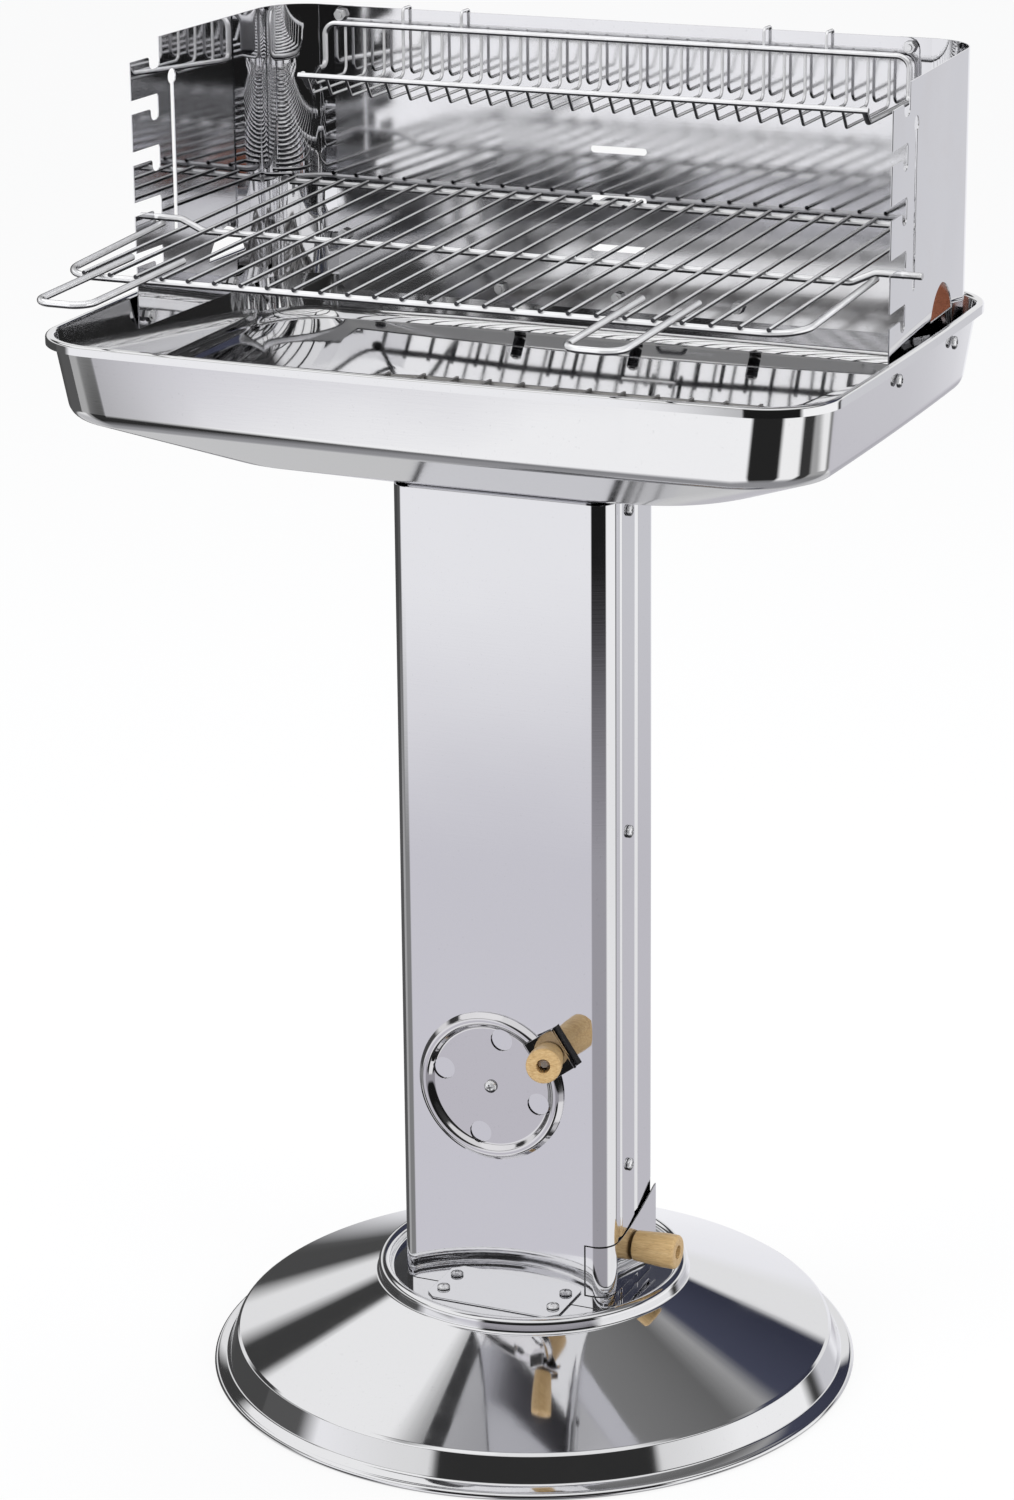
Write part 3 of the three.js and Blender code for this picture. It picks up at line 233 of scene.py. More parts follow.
# Warming rack
RACK_LEFT = -0.226
RACK_RIGHT = 0.219
RACK_WIRES = 30
RACK_TOP = 0.948
RACK_FLOOR = 0.9115
RACK_BACK = 0.1734
RACK_DEPTH = 0.089
RACK_LIP_REACH = 0.01
RACK_LIP_HEIGHT = 0.0152
RACK_END_RISE = 0.0045
RACK_END_STRAIGHT = 0.013
RACK_SHORT_WIRES = 1
RACK_BEND = 0.006
RACK_CORNER = 0.009
RACK_HOOK_DROP = 0.026
RACK_HOOKS = (4, 7, 22, 25)
RACK_LIP_BEND = 0.002
RACK_HOOK_BEND = 0.0028
RACK_BEAD = 0.0014
RACK_BEAD_OUT = 0.0004
RACK_BEAD_BACK = 0.0012

# Heat tint in the right rear corner of the windshield
HEAT_CENTRE = (0.239, 0.182, 0.774)
HEAT_REACH = 0.022

# Fasteners
HEAD_RADIUS = 0.0046
HEAD_HEIGHT = 0.0028
SHANK_RADIUS = 0.0024
NUT_WIDTH = 0.008
NUT_HEIGHT = 0.004
NUT_CHAMFER = 0.0007
NUT_CLEAR = 0.0004
NUT_STUB = 0.0012
HEAD_ROUNDS = (0.004, 0.0022, 0.0002)
CROSS_HALF = 0.00072
CROSS_RISE = 0.001
CROSS_REACH = HEAD_RADIUS * 0.64
CROSS_TIP = CROSS_REACH * 0.35
CROSS_FLOOR = HEAD_HEIGHT * 0.15
CROSS_TURN = 0.3

# Fineness of curved forms
LATHE_STEPS = 192
ARC_STEPS = 14
BOWL_CORNER_STEPS = 16
BOWL_SIDE_STEPS = 10
EDGE_ROUND = 0.00025
THIN_EDGE_ROUND = EDGE_ROUND * 0.8
LINE_DEPTH = 0.000008
SAME_PLACE = 1e-7

# How far cutting forms reach past what they cut
OVERRUN = 0.004
CUT_REACH = 0.01
THROUGH = 0.3

# Lamps and floor
LAMPS = (
    ("key_lamp", (-2.2, -2.4, 2.6), (1.6, 1.6), 42), ("fill_lamp", (2.6, -1.2, 1.8), (1.4, 1.8), 22),
    ("top_lamp", (0.2, 0.8, 3.2), (2.0, 2.0), 30),
)
LAMP_TARGET = Vector((0, 0, 0.5))
FLOOR_HALF = 12
FLOOR_WHITE_SHARE = 0.85
BAND_SOFTNESS = 3

RIGHT_ANGLE = math.pi / 2
seeded = random.Random(7)


# Small helpers

def linked(name, data):
    """A new object with this data, in the scene."""
    obj = bpy.data.objects.new(name, data)
    bpy.context.scene.collection.objects.link(obj)
    return obj


def paint(data, *materials):
    """Gives a mesh or curve these materials and no others."""
    data.materials.clear()
    for material in materials:
        data.materials.append(material)


def around(centre, radius, angle):
    """The point of a circle at this angle."""
    return centre[0] + radius * math.cos(angle), centre[1] + radius * math.sin(angle)


def arc(centre, radius, start, sweep, steps):
    """Points along part of a circle, both ends included. Its angles are in degrees."""
    return [around(centre, radius, math.radians(start + sweep * k / steps)) for k in range(steps + 1)]


def flat(points):
    return [(point.x, point.y) for point in points]


def mirrored(points):
    """The same points on the other side, in reverse order."""
    return [Vector((-point.x, point.y)) for point in reversed(points)]


def quadratic(start, control, end, steps):
    """Points of a curve that leaves its start towards the control point."""
    shares = [k / steps for k in range(steps + 1)]
    return [start * (1 - s) ** 2 + control * 2 * s * (1 - s) + end * s ** 2 for s in shares]


# Camera, light and floor

def make_camera():
    data = bpy.data.cameras.new("camera")
    data.lens = CAMERA_LENS
    data.sensor_width = 36
    data.clip_end = 50
    camera = linked("camera", data)
    turns = ((CAMERA_YAW, "Z"), (RIGHT_ANGLE - CAMERA_PITCH, "X"), (CAMERA_ROLL, "Z"))
    yaw, pitch, roll = [Matrix.Rotation(angle, 4, axis) for angle, axis in turns]
    camera.matrix_world = Matrix.Translation(CAMERA_PLACE) @ yaw @ pitch @ roll
    bpy.context.scene.camera = camera


class Graph:
    """A node tree that is built by short calls."""

    def __init__(self, owner):
        owner.use_nodes = True
        self.tree = owner.node_tree
        self.tree.nodes.clear()

    def add(self, kind, inputs=None, **settings):
        node = self.tree.nodes.new("ShaderNode" + kind)
        for key, value in settings.items():
            setattr(node, key, value)
        for key, value in (inputs or {}).items():
            if isinstance(value, bpy.types.NodeSocket):
                self.tree.links.new(value, node.inputs[key])
            elif value is not None:
                node.inputs[key].default_value = value
        return node

    def math(self, operation, *values):
        return self.add("Math", dict(enumerate(values)), operation=operation).outputs[0]

    def line(self, value, factor, offset=0.0):
        """The value times the factor, plus the offset."""
        return self.math("MULTIPLY_ADD", value, factor, offset)

    def measure(self, operation, first, second):
        """One number from two vectors."""
        node = self.add("VectorMath", {0: first, 1: second}, operation=operation)
        return node.outputs["Value"]

    def rise(self, factor, start, end):
        """From 0 at the start to 1 at the end, whichever of them comes first."""
        return self.ramp(factor, sorted(((start, 0.0), (end, 1.0))))

    def ramp(self, factor, stops):
        node = self.add("ValToRGB", {"Fac": factor})
        elements = node.color_ramp.elements
        while len(elements) < len(stops):
            elements.new(1)
        for element, (position, colour) in zip(elements, stops):
            element.position = position
            grey = (colour, colour, colour) if isinstance(colour, (int, float)) else colour
            element.color = (*grey, 1)
        return node.outputs["Color"]

    def noise(self, vector, scale, detail=3.0, roughness=0.5, distortion=0.0):
        inputs = {
            "Vector": vector, "Scale": scale, "Detail": detail, "Roughness": roughness,
            "Distortion": distortion,
        }
        return self.add("TexNoise", inputs).outputs["Fac"]

    def stretched(self, vector, scale, turn=(0, 0, 0)):
        inputs = {"Vector": vector, "Scale": scale, "Rotation": turn}
        return self.add("Mapping", inputs).outputs["Vector"]

    def mix(self, factor, first, second):
        ends = [end if isinstance(end, bpy.types.NodeSocket) else (*end, 1) for end in (first, second)]
        node = self.add("Mix", {"Factor": factor, 6: ends[0], 7: ends[1]}, data_type="RGBA")
        return node.outputs[2]

    def bump(self, height, strength, distance, normal=None):
        inputs = {"Height": height, "Strength": strength, "Distance": distance, "Normal": normal}
        return self.add("Bump", inputs).outputs["Normal"]

    def close(self, inputs):
        """Ends a material with one surface that has these inputs."""
        surface = self.add("BsdfPrincipled", inputs)
        self.add("OutputMaterial", {"Surface": surface.outputs[0]})


def started(name):
    """A new material, its node tree and the place on the object."""
    material = bpy.data.materials.new(name)
    graph = Graph(material)
    return material, graph, graph.add("TexCoord").outputs["Object"]


def compass(degrees):
    """Where a direction lies along a ramp that runs once round, from the left side and back to it."""
    return ((degrees + 180) % 360) / 360


def band_stops(bands):
    """Ramp stops of a row of bands, each from one compass direction to the next, with soft edges."""
    stops = []
    for start, end, tone in bands:
        stops.append((compass(start) + BAND_SOFTNESS / 720, tone))
        stops.append((compass(end) - BAND_SOFTNESS / 720, tone))
    return tuple(sorted(stops, key=lambda stop: stop[0]))


# What polished metal sees round the studio, by direction counted from the right side to the back
LEVEL_BANDS = (
    (180, 202, 0.1), (208, 253.5, (0.93, 0.93, 0.95)), (256.5, 338, 0.012), (341, 359, 1.0), (1, 48, 1.0),
    (51, 57, 0.06), (60, 78, (0.64, 0.64, 0.67)), (81, 117, (0.92, 0.92, 0.95)), (121, 179, 0.07),
)
MIDDLE_BANDS = (
    (181, 197, 0.42), (200, 230, 0.24), (234, 251, (0.66, 0.65, 0.7)), (254, 336, (0.37, 0.36, 0.39)),
    (343, 359, 0.92), (1, 48, 0.9), (51, 57, 0.25), (60, 117, (0.58, 0.57, 0.61)), (121, 179, 0.1),
)
LOW_BANDS = (
    (181, 187, 0.8), (190, 197, 0.35), (200, 232, 0.03), (235, 275, (0.97, 0.97, 0.98)), (277, 322, 0.02),
    (325, 354, 0.95), (357, 14, 0.04), (17, 60, 0.38), (63, 90, 0.86), (94, 124, 0.74), (127, 179, 0.8),
)
# The same by height, as the sine of the angle above the horizon, at the back and in front
LEFT_SKY = (
    (-1.0, 0.8), (0.33, 0.86), (0.41, 0.05), (0.53, 0.05), (0.57, 0.95), (0.86, 0.95), (0.9, 0.22),
    (1.0, 0.26),
)
RIGHT_SKY = (
    (-1.0, 0.8), (0.38, 0.86), (0.42, (0.035, 0.038, 0.06)), (0.66, (0.06, 0.065, 0.1)), (0.71, 0.36),
    (0.78, 0.14), (0.9, 0.2), (1.0, 0.26),
)
FRONT_SKY = ((-1.0, 0.8), (0.25, 0.8), (0.34, 0.04), (0.55, 0.06), (0.62, 0.85), (1.0, 0.9))
FRONT_LEFT_SKY = ((-1.0, 0.8), (0.28, 0.82), (0.31, 0.05), (0.36, 0.05), (0.4, 0.95), (1.0, 1.0))
FRONT_RIGHT_SKY = ((-1.0, 0.03), (0.28, 0.03), (0.55, 0.06), (0.62, 0.85), (1.0, 0.9))
# Where one height gives way to the next
MIDDLE_START = ((-0.335, 1.0), (-0.275, 0.0))
LOW_START = ((-0.468, 1.0), (-0.435, 0.0))
GROUND_START = ((-0.9, 1.0), (-0.72, 0.0))
SKY_START = ((0.1, 0.0), (0.2, 1.0))
SKY_RIGHT = (0.917, 0.399, 0.0)
SKY_BACK = (-0.399, 0.917, 0.0)


def studio_world():
    """Plain soft light all round. Polished metal sees the studio's white walls and dark gaps."""
    world = bpy.data.worlds.new("studio")
    bpy.context.scene.world = world
    graph = Graph(world)
    direction = graph.add("TexCoord").outputs["Generated"]
    axes = graph.add("SeparateXYZ", {0: direction}).outputs
    turn = graph.math("ARCTAN2", axes["Y"], axes["X"])
    share = graph.line(turn, 1 / (2 * math.pi), 0.5)
    height = axes["Z"]

    def by_height(stops):
        lifted = graph.line(height, 0.5, 0.5)
        return graph.ramp(lifted, tuple(((level + 1) / 2, tone) for level, tone in stops))

    def towards(vector):
        return graph.line(graph.measure("DOT_PRODUCT", direction, vector), 1.0, 0.5)

    walls = graph.ramp(share, band_stops(LEVEL_BANDS))
    for start, bands in ((MIDDLE_START, MIDDLE_BANDS), (LOW_START, LOW_BANDS)):
        walls = graph.mix(by_height(start), walls, graph.ramp(share, band_stops(bands)))
    walls = graph.mix(by_height(GROUND_START), walls, (0.45, 0.45, 0.46))
    right_share = graph.rise(towards(SKY_RIGHT), 0.47, 0.53)
    back_share = graph.rise(towards(SKY_BACK), 0.42, 0.52)
    back_sky = graph.mix(right_share, by_height(LEFT_SKY), by_height(RIGHT_SKY))
    left_front = graph.rise(share, compass(254), compass(249))
    front_sky = graph.mix(left_front, by_height(FRONT_SKY), by_height(FRONT_LEFT_SKY))
    right_front_stops = ((255, 0.0), (258, 1.0), (336, 1.0), (339, 0.0))
    right_front = graph.ramp(share, tuple((compass(turn), tone) for turn, tone in right_front_stops))
    front_sky = graph.mix(right_front, front_sky, by_height(FRONT_RIGHT_SKY))
    sky = graph.mix(back_share, front_sky, back_sky)
    seen_by_metal = graph.mix(by_height(SKY_START), walls, sky)
    rays = graph.add("LightPath").outputs
    light = graph.mix(rays["Is Glossy Ray"], (0.78, 0.785, 0.8), seen_by_metal)
    shown = graph.mix(rays["Is Camera Ray"], light, (1, 1, 1))
    surface = graph.add("Background", {"Color": shown, "Strength": 1.0})
    graph.add("OutputWorld", {"Surface": surface.outputs[0]})


def studio_lamps():
    """Soft lamps aimed at the barbecue, which its metal doesn't mirror."""
    for name, place, size, power in LAMPS:
        data = bpy.data.lights.new(name, "AREA")
        data.shape = "RECTANGLE"
        data.size, data.size_y = size
        data.energy = power
        lamp = linked(name, data)
        lamp.location = place
        lamp.rotation_mode = "QUATERNION"
        lamp.rotation_quaternion = (LAMP_TARGET - Vector(place)).to_track_quat("-Z", "Y")
        lamp.visible_glossy = False


def studio_floor():
    """A pale floor that the camera sees almost white and the metal doesn't mirror."""
    corners = [(x * FLOOR_HALF, y * FLOOR_HALF, 0) for x, y in ((-1, -1), (1, -1), (1, 1), (-1, 1))]
    floor = mesh_piece("floor", corners, [(0, 1, 2, 3)])
    material = bpy.data.materials.new("pale_floor")
    graph = Graph(material)
    diffuse = graph.add("BsdfDiffuse", {"Color": (0.88, 0.88, 0.885, 1)})
    white = graph.add("Emission", {"Color": (1, 1, 1, 1), "Strength": 1.0})
    rays = graph.add("LightPath").outputs
    share = graph.line(rays["Is Camera Ray"], FLOOR_WHITE_SHARE)
    mixed = graph.add("MixShader", {0: share, 1: diffuse.outputs[0], 2: white.outputs[0]})
    graph.add("OutputMaterial", {"Surface": mixed.outputs[0]})
    paint(floor.data, material)
    floor.visible_glossy = False


# Materials

def steel(name, colour, roughness, lines=None, depth=LINE_DEPTH, wave=0, stain=0, underside_shade=None, heat=None):
    """Polished sheet: faint polishing lines, a slightly uneven surface, smudges and a worn sheen. With an
    underside shade colour it also gets painted shade on faces that look down.
    """
    material, graph, place = started(name)
    smudge = graph.rise(graph.noise(place, 22, 5.0, 0.62, 0.6), 0.46, 0.72)
    speck = graph.rise(graph.noise(place, 420, 2.0, 0.6), 0.66, 0.74)
    rough = graph.line(smudge, roughness * 0.8, roughness)
    rough = graph.line(speck, 0.03, rough)
    dark = tuple(value * 0.955 for value in colour)
    shade = graph.mix(graph.noise(place, 5, 2.0), colour, dark)
    shade = graph.mix(graph.line(speck, 0.12), shade, (0.42, 0.42, 0.43))
    if stain:
        spots = graph.rise(graph.noise(place, 9, 4.0, 0.6, 1.2), 0.52, 0.75)
        shade = graph.mix(graph.line(spots, stain), shade, (0.62, 0.5, 0.38))
    normal = None
    if wave:
        normal = graph.bump(graph.noise(place, 7, 1.5, 0.4), 1.0, wave)
    if lines:
        grain = graph.noise(graph.stretched(place, lines), 1.0, 2.0, 0.55)
        normal = graph.bump(grain, 0.35, depth, normal)
        rough = graph.line(grain, roughness * 0.4, rough)
    metal = 1.0
    # Painted shade: faces that look down take the darker underside colour.
    if underside_shade:
        underside_shade_mask = graph.rise(level_share(graph), 0.36, 0.3)
        shade = graph.mix(underside_shade_mask, shade, underside_shade)
        rough = graph.line(underside_shade_mask, 0.08, rough)
    if heat:
        share = graph.line(graph.measure("DISTANCE", place, heat), 1 / HEAT_REACH)
        patch = graph.rise(share, 1.0, 0.6)
        shade = graph.mix(patch, shade, (0.44, 0.15, 0.08))
        rough = graph.line(patch, 0.25, rough)
        metal = graph.line(patch, -0.7, 1.0)
    graph.close({"Base Color": shade, "Roughness": rough, "Metallic": metal, "Normal": normal})
    return material


def level_share(graph):
    """How far a surface looks up, from 0 straight down to 1 straight up."""
    normal = graph.add("NewGeometry").outputs["Normal"]
    upright = graph.add("SeparateXYZ", {0: normal}).outputs["Z"]
    return graph.line(upright, 0.5, 0.5)


def chromed(name, edge_shade_start, edge_shade_end, colour=(0.93, 0.93, 0.94), underside_shade=(0.35, 0.45)):
    """Plated wire and screws: white on top, with painted shade where they turn away and underneath."""
    material, graph, place = started(name)
    # Painted shade: darker where the surface turns away from the view and where it looks down.
    facing = graph.add("LayerWeight", {"Blend": 0.5}).outputs["Facing"]
    edge = graph.rise(facing, edge_shade_start, edge_shade_end)
    underside_shade_mask = graph.rise(level_share(graph), underside_shade[1], underside_shade[0])
    dark = graph.math("MAXIMUM", edge, underside_shade_mask)
    worn = graph.rise(graph.noise(place, 60, 4.0, 0.6), 0.48, 0.7)
    shade = graph.mix(graph.line(worn, 0.35), colour, (0.62, 0.61, 0.6))
    # The painted shade takes the colour almost to black.
    shade = graph.mix(dark, shade, (0.04, 0.04, 0.045))
    rough = graph.line(worn, 0.1, 0.08)
    graph.close({"Base Color": shade, "Roughness": rough, "Metallic": 0.45, "Specular IOR Level": 0.25})
    return material


def turned_wood(name, axis):
    """Pale turned hardwood: streaks along the knob, turning rings, pores and a light oil sheen."""
    material, graph, place = started(name)
    along = graph.stretched(place, (90, 900, 900), axis)
    grain = graph.noise(along, 1.0, 5.0, 0.6, 0.3)
    fine = graph.stretched(place, (220, 2600, 2600), axis)
    pores = graph.rise(graph.noise(fine, 1.0, 2.0), 0.6, 0.7)
    broad = graph.noise(along, 0.35, 2.0)
    tones = ((0.3, (0.47, 0.29, 0.12)), (0.5, (0.62, 0.42, 0.19)), (0.72, (0.74, 0.54, 0.28)))
    colour = graph.ramp(grain, tones)
    colour = graph.mix(graph.line(broad, 0.35), colour, (0.5, 0.31, 0.13))
    colour = graph.mix(graph.line(pores, 0.45), colour, (0.24, 0.13, 0.05))
    rough = graph.line(grain, 0.18, 0.36)
    normal = graph.bump(pores, 0.6, -0.0001, graph.bump(grain, 0.5, 0.00012))
    sheen = {"Coat Weight": 0.18, "Coat Roughness": 0.25}
    graph.close({"Base Color": colour, "Roughness": rough, "Normal": normal, **sheen})
    return material


# Meshes

def finish_piece(obj, material, body, nodes=(), angle=35):
    """Gives a piece its material, smooth shading and body, and hides the nodes it stands for."""
    if obj.type == "MESH":
        smooth_by_angle(obj.data, angle)
        add_modifier(obj, "WEIGHTED_NORMAL", keep_sharp=True)
    paint(obj.data, material)
    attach(obj, body)
    if nodes:
        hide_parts(*nodes)


def finish_sheet(sheet, cutters, metal, body, node, width=EDGE_ROUND, operation="DIFFERENCE"):
    """Cuts a polished sheet, breaks its edges and lets it stand for its node."""
    carve(sheet, cutters, operation)
    soften(sheet, width)
    finish_piece(sheet, metal, body, [node])


def smooth_by_angle(mesh, degrees):
    limit = math.radians(degrees)
    build = bmesh.new()
    build.from_mesh(mesh)
    for face in build.faces:
        face.smooth = True
    for edge in build.edges:
        edge.smooth = len(edge.link_faces) == 2 and edge.calc_face_angle(0) < limit
    build.to_mesh(mesh)
    build.free()


def mesh_piece(name, points, faces):
    mesh = bpy.data.meshes.new(name)
    mesh.from_pydata([tuple(point) for point in points], [], faces)
    mesh.validate()
    build = bmesh.new()
    build.from_mesh(mesh)
    bmesh.ops.remove_doubles(build, verts=build.verts, dist=SAME_PLACE)
    bmesh.ops.recalc_face_normals(build, faces=build.faces)
    build.to_mesh(mesh)
    build.free()
    return linked(name, mesh)


def bake(obj):
    """Applies all of an object's modifiers to its mesh."""
    bpy.context.view_layer.update()
    graph = bpy.context.evaluated_depsgraph_get()
    baked = bpy.data.meshes.new_from_object(obj.evaluated_get(graph))
    obj.modifiers.clear()
    obj.data = baked


def add_modifier(obj, kind, **settings):
    modifier = obj.modifiers.new(kind.lower(), kind)
    for key, value in settings.items():
        setattr(modifier, key, value)


def carve(obj, cutters, operation="DIFFERENCE"):
    """Cuts an object by others, which are used up."""
    for cutter in cutters:
        add_modifier(obj, "BOOLEAN", operation=operation, solver="EXACT", object=cutter)
    bake(obj)
    for cutter in cutters:
        bpy.data.objects.remove(cutter)


def thicken(obj, thickness):
    """Gives a skin its sheet, towards the inside."""
    add_modifier(obj, "SOLIDIFY", thickness=thickness, offset=-1, use_even_offset=True)
    bake(obj)


def soften(obj, width=EDGE_ROUND):
    """Breaks the sharp edges of a cut sheet."""
    limit = math.radians(50)
    add_modifier(obj, "BEVEL", width=width, segments=2, limit_method="ANGLE", angle_limit=limit)
    bake(obj)


def rounded(corners, radii, steps=ARC_STEPS):
    """A path of points whose bends are arcs of the given radii."""
    corners = [Vector(corner) for corner in corners]
    if isinstance(radii, (int, float)):
        radii = [radii] * (len(corners) - 2)
    points = [corners[0]]
    for before, corner, after, radius in zip(corners, corners[1:], corners[2:], radii):
        back = (before - corner).normalized()
        ahead = (after - corner).normalized()
        half = math.acos(max(-1, min(1, back.dot(ahead)))) / 2
        if radius <= 0 or half > RIGHT_ANGLE - 1e-4:
            points.append(corner)
            continue
        reach = radius / math.tan(half)
        centre = corner + (back + ahead).normalized() * (radius / math.sin(half))
        start = corner + back * reach - centre
        end = corner + ahead * reach - centre
        sweep = math.pi - 2 * half
        for k in range(steps + 1):
            share = k / steps
            first = math.sin((1 - share) * sweep) / math.sin(sweep)
            second = math.sin(share * sweep) / math.sin(sweep)
            points.append(centre + start * first + end * second)
    points.append(corners[-1])
    return points


def skin(name, columns, closed=False, ends=False):
    """A surface through columns of points. The last column joins the first one, or both get an end."""
    count, rows = len(columns), len(columns[0])
    faces = []
    for i in range(count - 1 if ends else count):
        here, there = i * rows, (i + 1) % count * rows
        for k in range(rows if closed else rows - 1):
            above = (k + 1) % rows
            faces.append((here + k, here + above, there + above, there + k))
    if ends:
        faces += [tuple(range(rows)), tuple(range((count - 1) * rows, count * rows))]
    return mesh_piece(name, [point for column in columns for point in column], faces)


def lathe(name, profile, centre=(0, 0, 0), closed=False, steps=LATHE_STEPS):
    """Turns a profile of (radius, height) points round the upright axis."""
    columns = []
    for i in range(steps):
        angle = 2 * math.pi * i / steps
        columns.append(
            [(*around(centre, radius, angle), centre[2] + height) for radius, height in profile]
        )
    return skin(name, columns, closed)


def sheet_strip(path, thickness):
    """The outline of a bent sheet: its path and the same path moved to its left."""
    inner = []
    for i, point in enumerate(path):
        before, after = path[max(i - 1, 0)], path[min(i + 1, len(path) - 1)]
        first = (point - before).normalized() if i else (after - point).normalized()
        second = (after - point).normalized() if i < len(path) - 1 else first
        along = (first + second).normalized()
        spread = thickness / max(along.dot(first), 0.7)
        inner.append(Vector((point.x - along.y * spread, point.y + along.x * spread)))
    return inner


def sheet_wall(name, path, thickness, low, high):
    """A bent sheet that stands upright between two heights."""
    columns = []
    for outer, inner in zip(path, sheet_strip(path, thickness)):
        columns.append([(*outer, low), (*outer, high), (*inner, high), (*inner, low)])
    return skin(name, columns, closed=True, ends=True)


def prism(name, outline, axis, low, high):
    """An outline in two directions, made solid between two places along the third."""
    def spread(u, v, w):
        return {"x": (w, u, v), "y": (u, w, v), "z": (u, v, w)}[axis]

    count = len(outline)
    points = [spread(u, v, low) for u, v in outline] + [spread(u, v, high) for u, v in outline]
    faces = [tuple(range(count)), tuple(range(2 * count - 1, count - 1, -1))]
    for i in range(count):
        j = (i + 1) % count
        faces.append((j, i, count + i, count + j))
    return mesh_piece(name, points, faces)


def rod(name, centre, radius, axis, low, high, steps):
    return prism(name, arc(centre, radius, 0, 360, steps)[:-1], axis, low, high)


def air_holes(centre, first, axis, low, high, steps=40):
    """What cuts the vent's ring of holes, the first of them at this angle."""
    places = arc(centre, VENT_HOLE_CIRCLE, first, 360, VENT_HOLES)[:-1]
    return [rod("air", place, VENT_HOLE_RADIUS, axis, low, high, steps) for place in places]


def wires(name, paths, radius, sides):
    """Round wires along paths of points, in one curve."""
    data = bpy.data.curves.new(name, "CURVE")
    data.dimensions = "3D"
    data.bevel_depth = radius
    data.bevel_resolution = sides
    data.use_fill_caps = True
    for path in paths:
        spline = data.splines.new("POLY")
        spline.points.add(len(path) - 1)
        for point, target in zip(path, spline.points):
            target.co = (*point, 1)
        spline.use_smooth = True
    return linked(name, data)


def beads(name, places, radius):
    """Small weld beads at the crossings of wires, a little flattened."""
    build = bmesh.new()
    for place in places:
        size = radius * seeded.uniform(0.85, 1.15)
        shape = Matrix.Translation(place) @ Matrix.Diagonal((size, size, size * BEAD_FLATNESS, 1))
        bmesh.ops.create_icosphere(build, subdivisions=2, radius=1, matrix=shape)
    mesh = bpy.data.meshes.new(name)
    build.to_mesh(mesh)
    build.free()
    return linked(name, mesh)


# Base

def dress_base(metal):
    edge = BASE_RADIUS - ROLL_RADIUS
    corners = [
        (0, PLATE_HEIGHT), (COLLAR_INNER, PLATE_HEIGHT), (COLLAR_INNER, COLLAR_TOP),
        (COLLAR_OUTER, COLLAR_TOP), (COLLAR_OUTER, CONE_TOP[1]), CONE_FOOT, SKIRT_TOP, SKIRT_FOOT,
        (edge, FLANGE_HEIGHT),
    ]
    profile = flat(rounded(corners, BASE_ROUNDS, 6)[:-1])
    profile += arc((edge, ROLL_RADIUS), ROLL_RADIUS, ROLL_START, -ROLL_SWEEP, ARC_STEPS)
    dish = lathe("base_skin", profile, (0, BASE_SETBACK, 0))
    thicken(dish, HEAVY_SHEET * 0.6)
    finish_piece(dish, metal, "stand", ["base_dish"])


# Column

def channel_cutters(air=()):
    """Screw holes through both sides, these air holes, and the drawer's opening on the right."""
    cutters = []
    for height in SIDE_SCREW_HEIGHTS:
        place = (SIDE_SCREW_SETBACK, height)
        cutters.append(rod("hole", place, SHANK_RADIUS + GAP, "x", -THROUGH, THROUGH, 16))
    outline = drawer_profile(DRAWER_SEAM, DRAWER_GAP_RISE)
    opening = prism("opening", outline, "x", DRAWER_SEAM_X - DRAWER_SEAM, COLUMN_HALF + CUT_REACH)
    return [*cutters, *air, opening]


def drawer_profile(margin, rise=0.0):
    """The drawer front seen from the right, or with a margin the opening round it."""
    corner = COLUMN_FRONT + COLUMN_CORNER
    start, end = Vector((corner, DRAWER_TOP)), Vector((DRAWER_BACK, DRAWER_BACK_TOP))
    control = Vector(((corner * 2 + DRAWER_BACK) / 3, DRAWER_TOP))
    outline = [(COLUMN_FRONT - OVERRUN, DRAWER_TOP + margin)]
    steps = 24
    for k, point in enumerate(quadratic(start, control, end, steps)):
        outline.append((point.x, point.y + margin + rise * (k / steps) ** 2))
    if margin:
        outline.append((DRAWER_BACK + margin, DRAWER_BACK_TOP + margin + rise))
    outline.append((DRAWER_BACK + margin, DRAWER_LOW - margin))
    outline.append((COLUMN_FRONT - OVERRUN, DRAWER_LOW - margin))
    return outline


def foot_tab(name, wall, side, metal):
    half, inner, end = FOOT_TAB_HALF, wall - side * SHEET, wall + side * FOOT_TAB_REACH
    shoulder = end - side * FOOT_TAB_CHAMFER
    outline = [
        (-half, inner), (half, inner), (half, shoulder), (half - FOOT_TAB_CHAMFER, end),
        (FOOT_TAB_CHAMFER - half, end), (-half, shoulder),
    ]
    low = PLATE_HEIGHT + GAP
    tab = prism(name, outline, "z", low, low + SHEET)
    soften(tab)
    finish_piece(tab, metal, "stand")


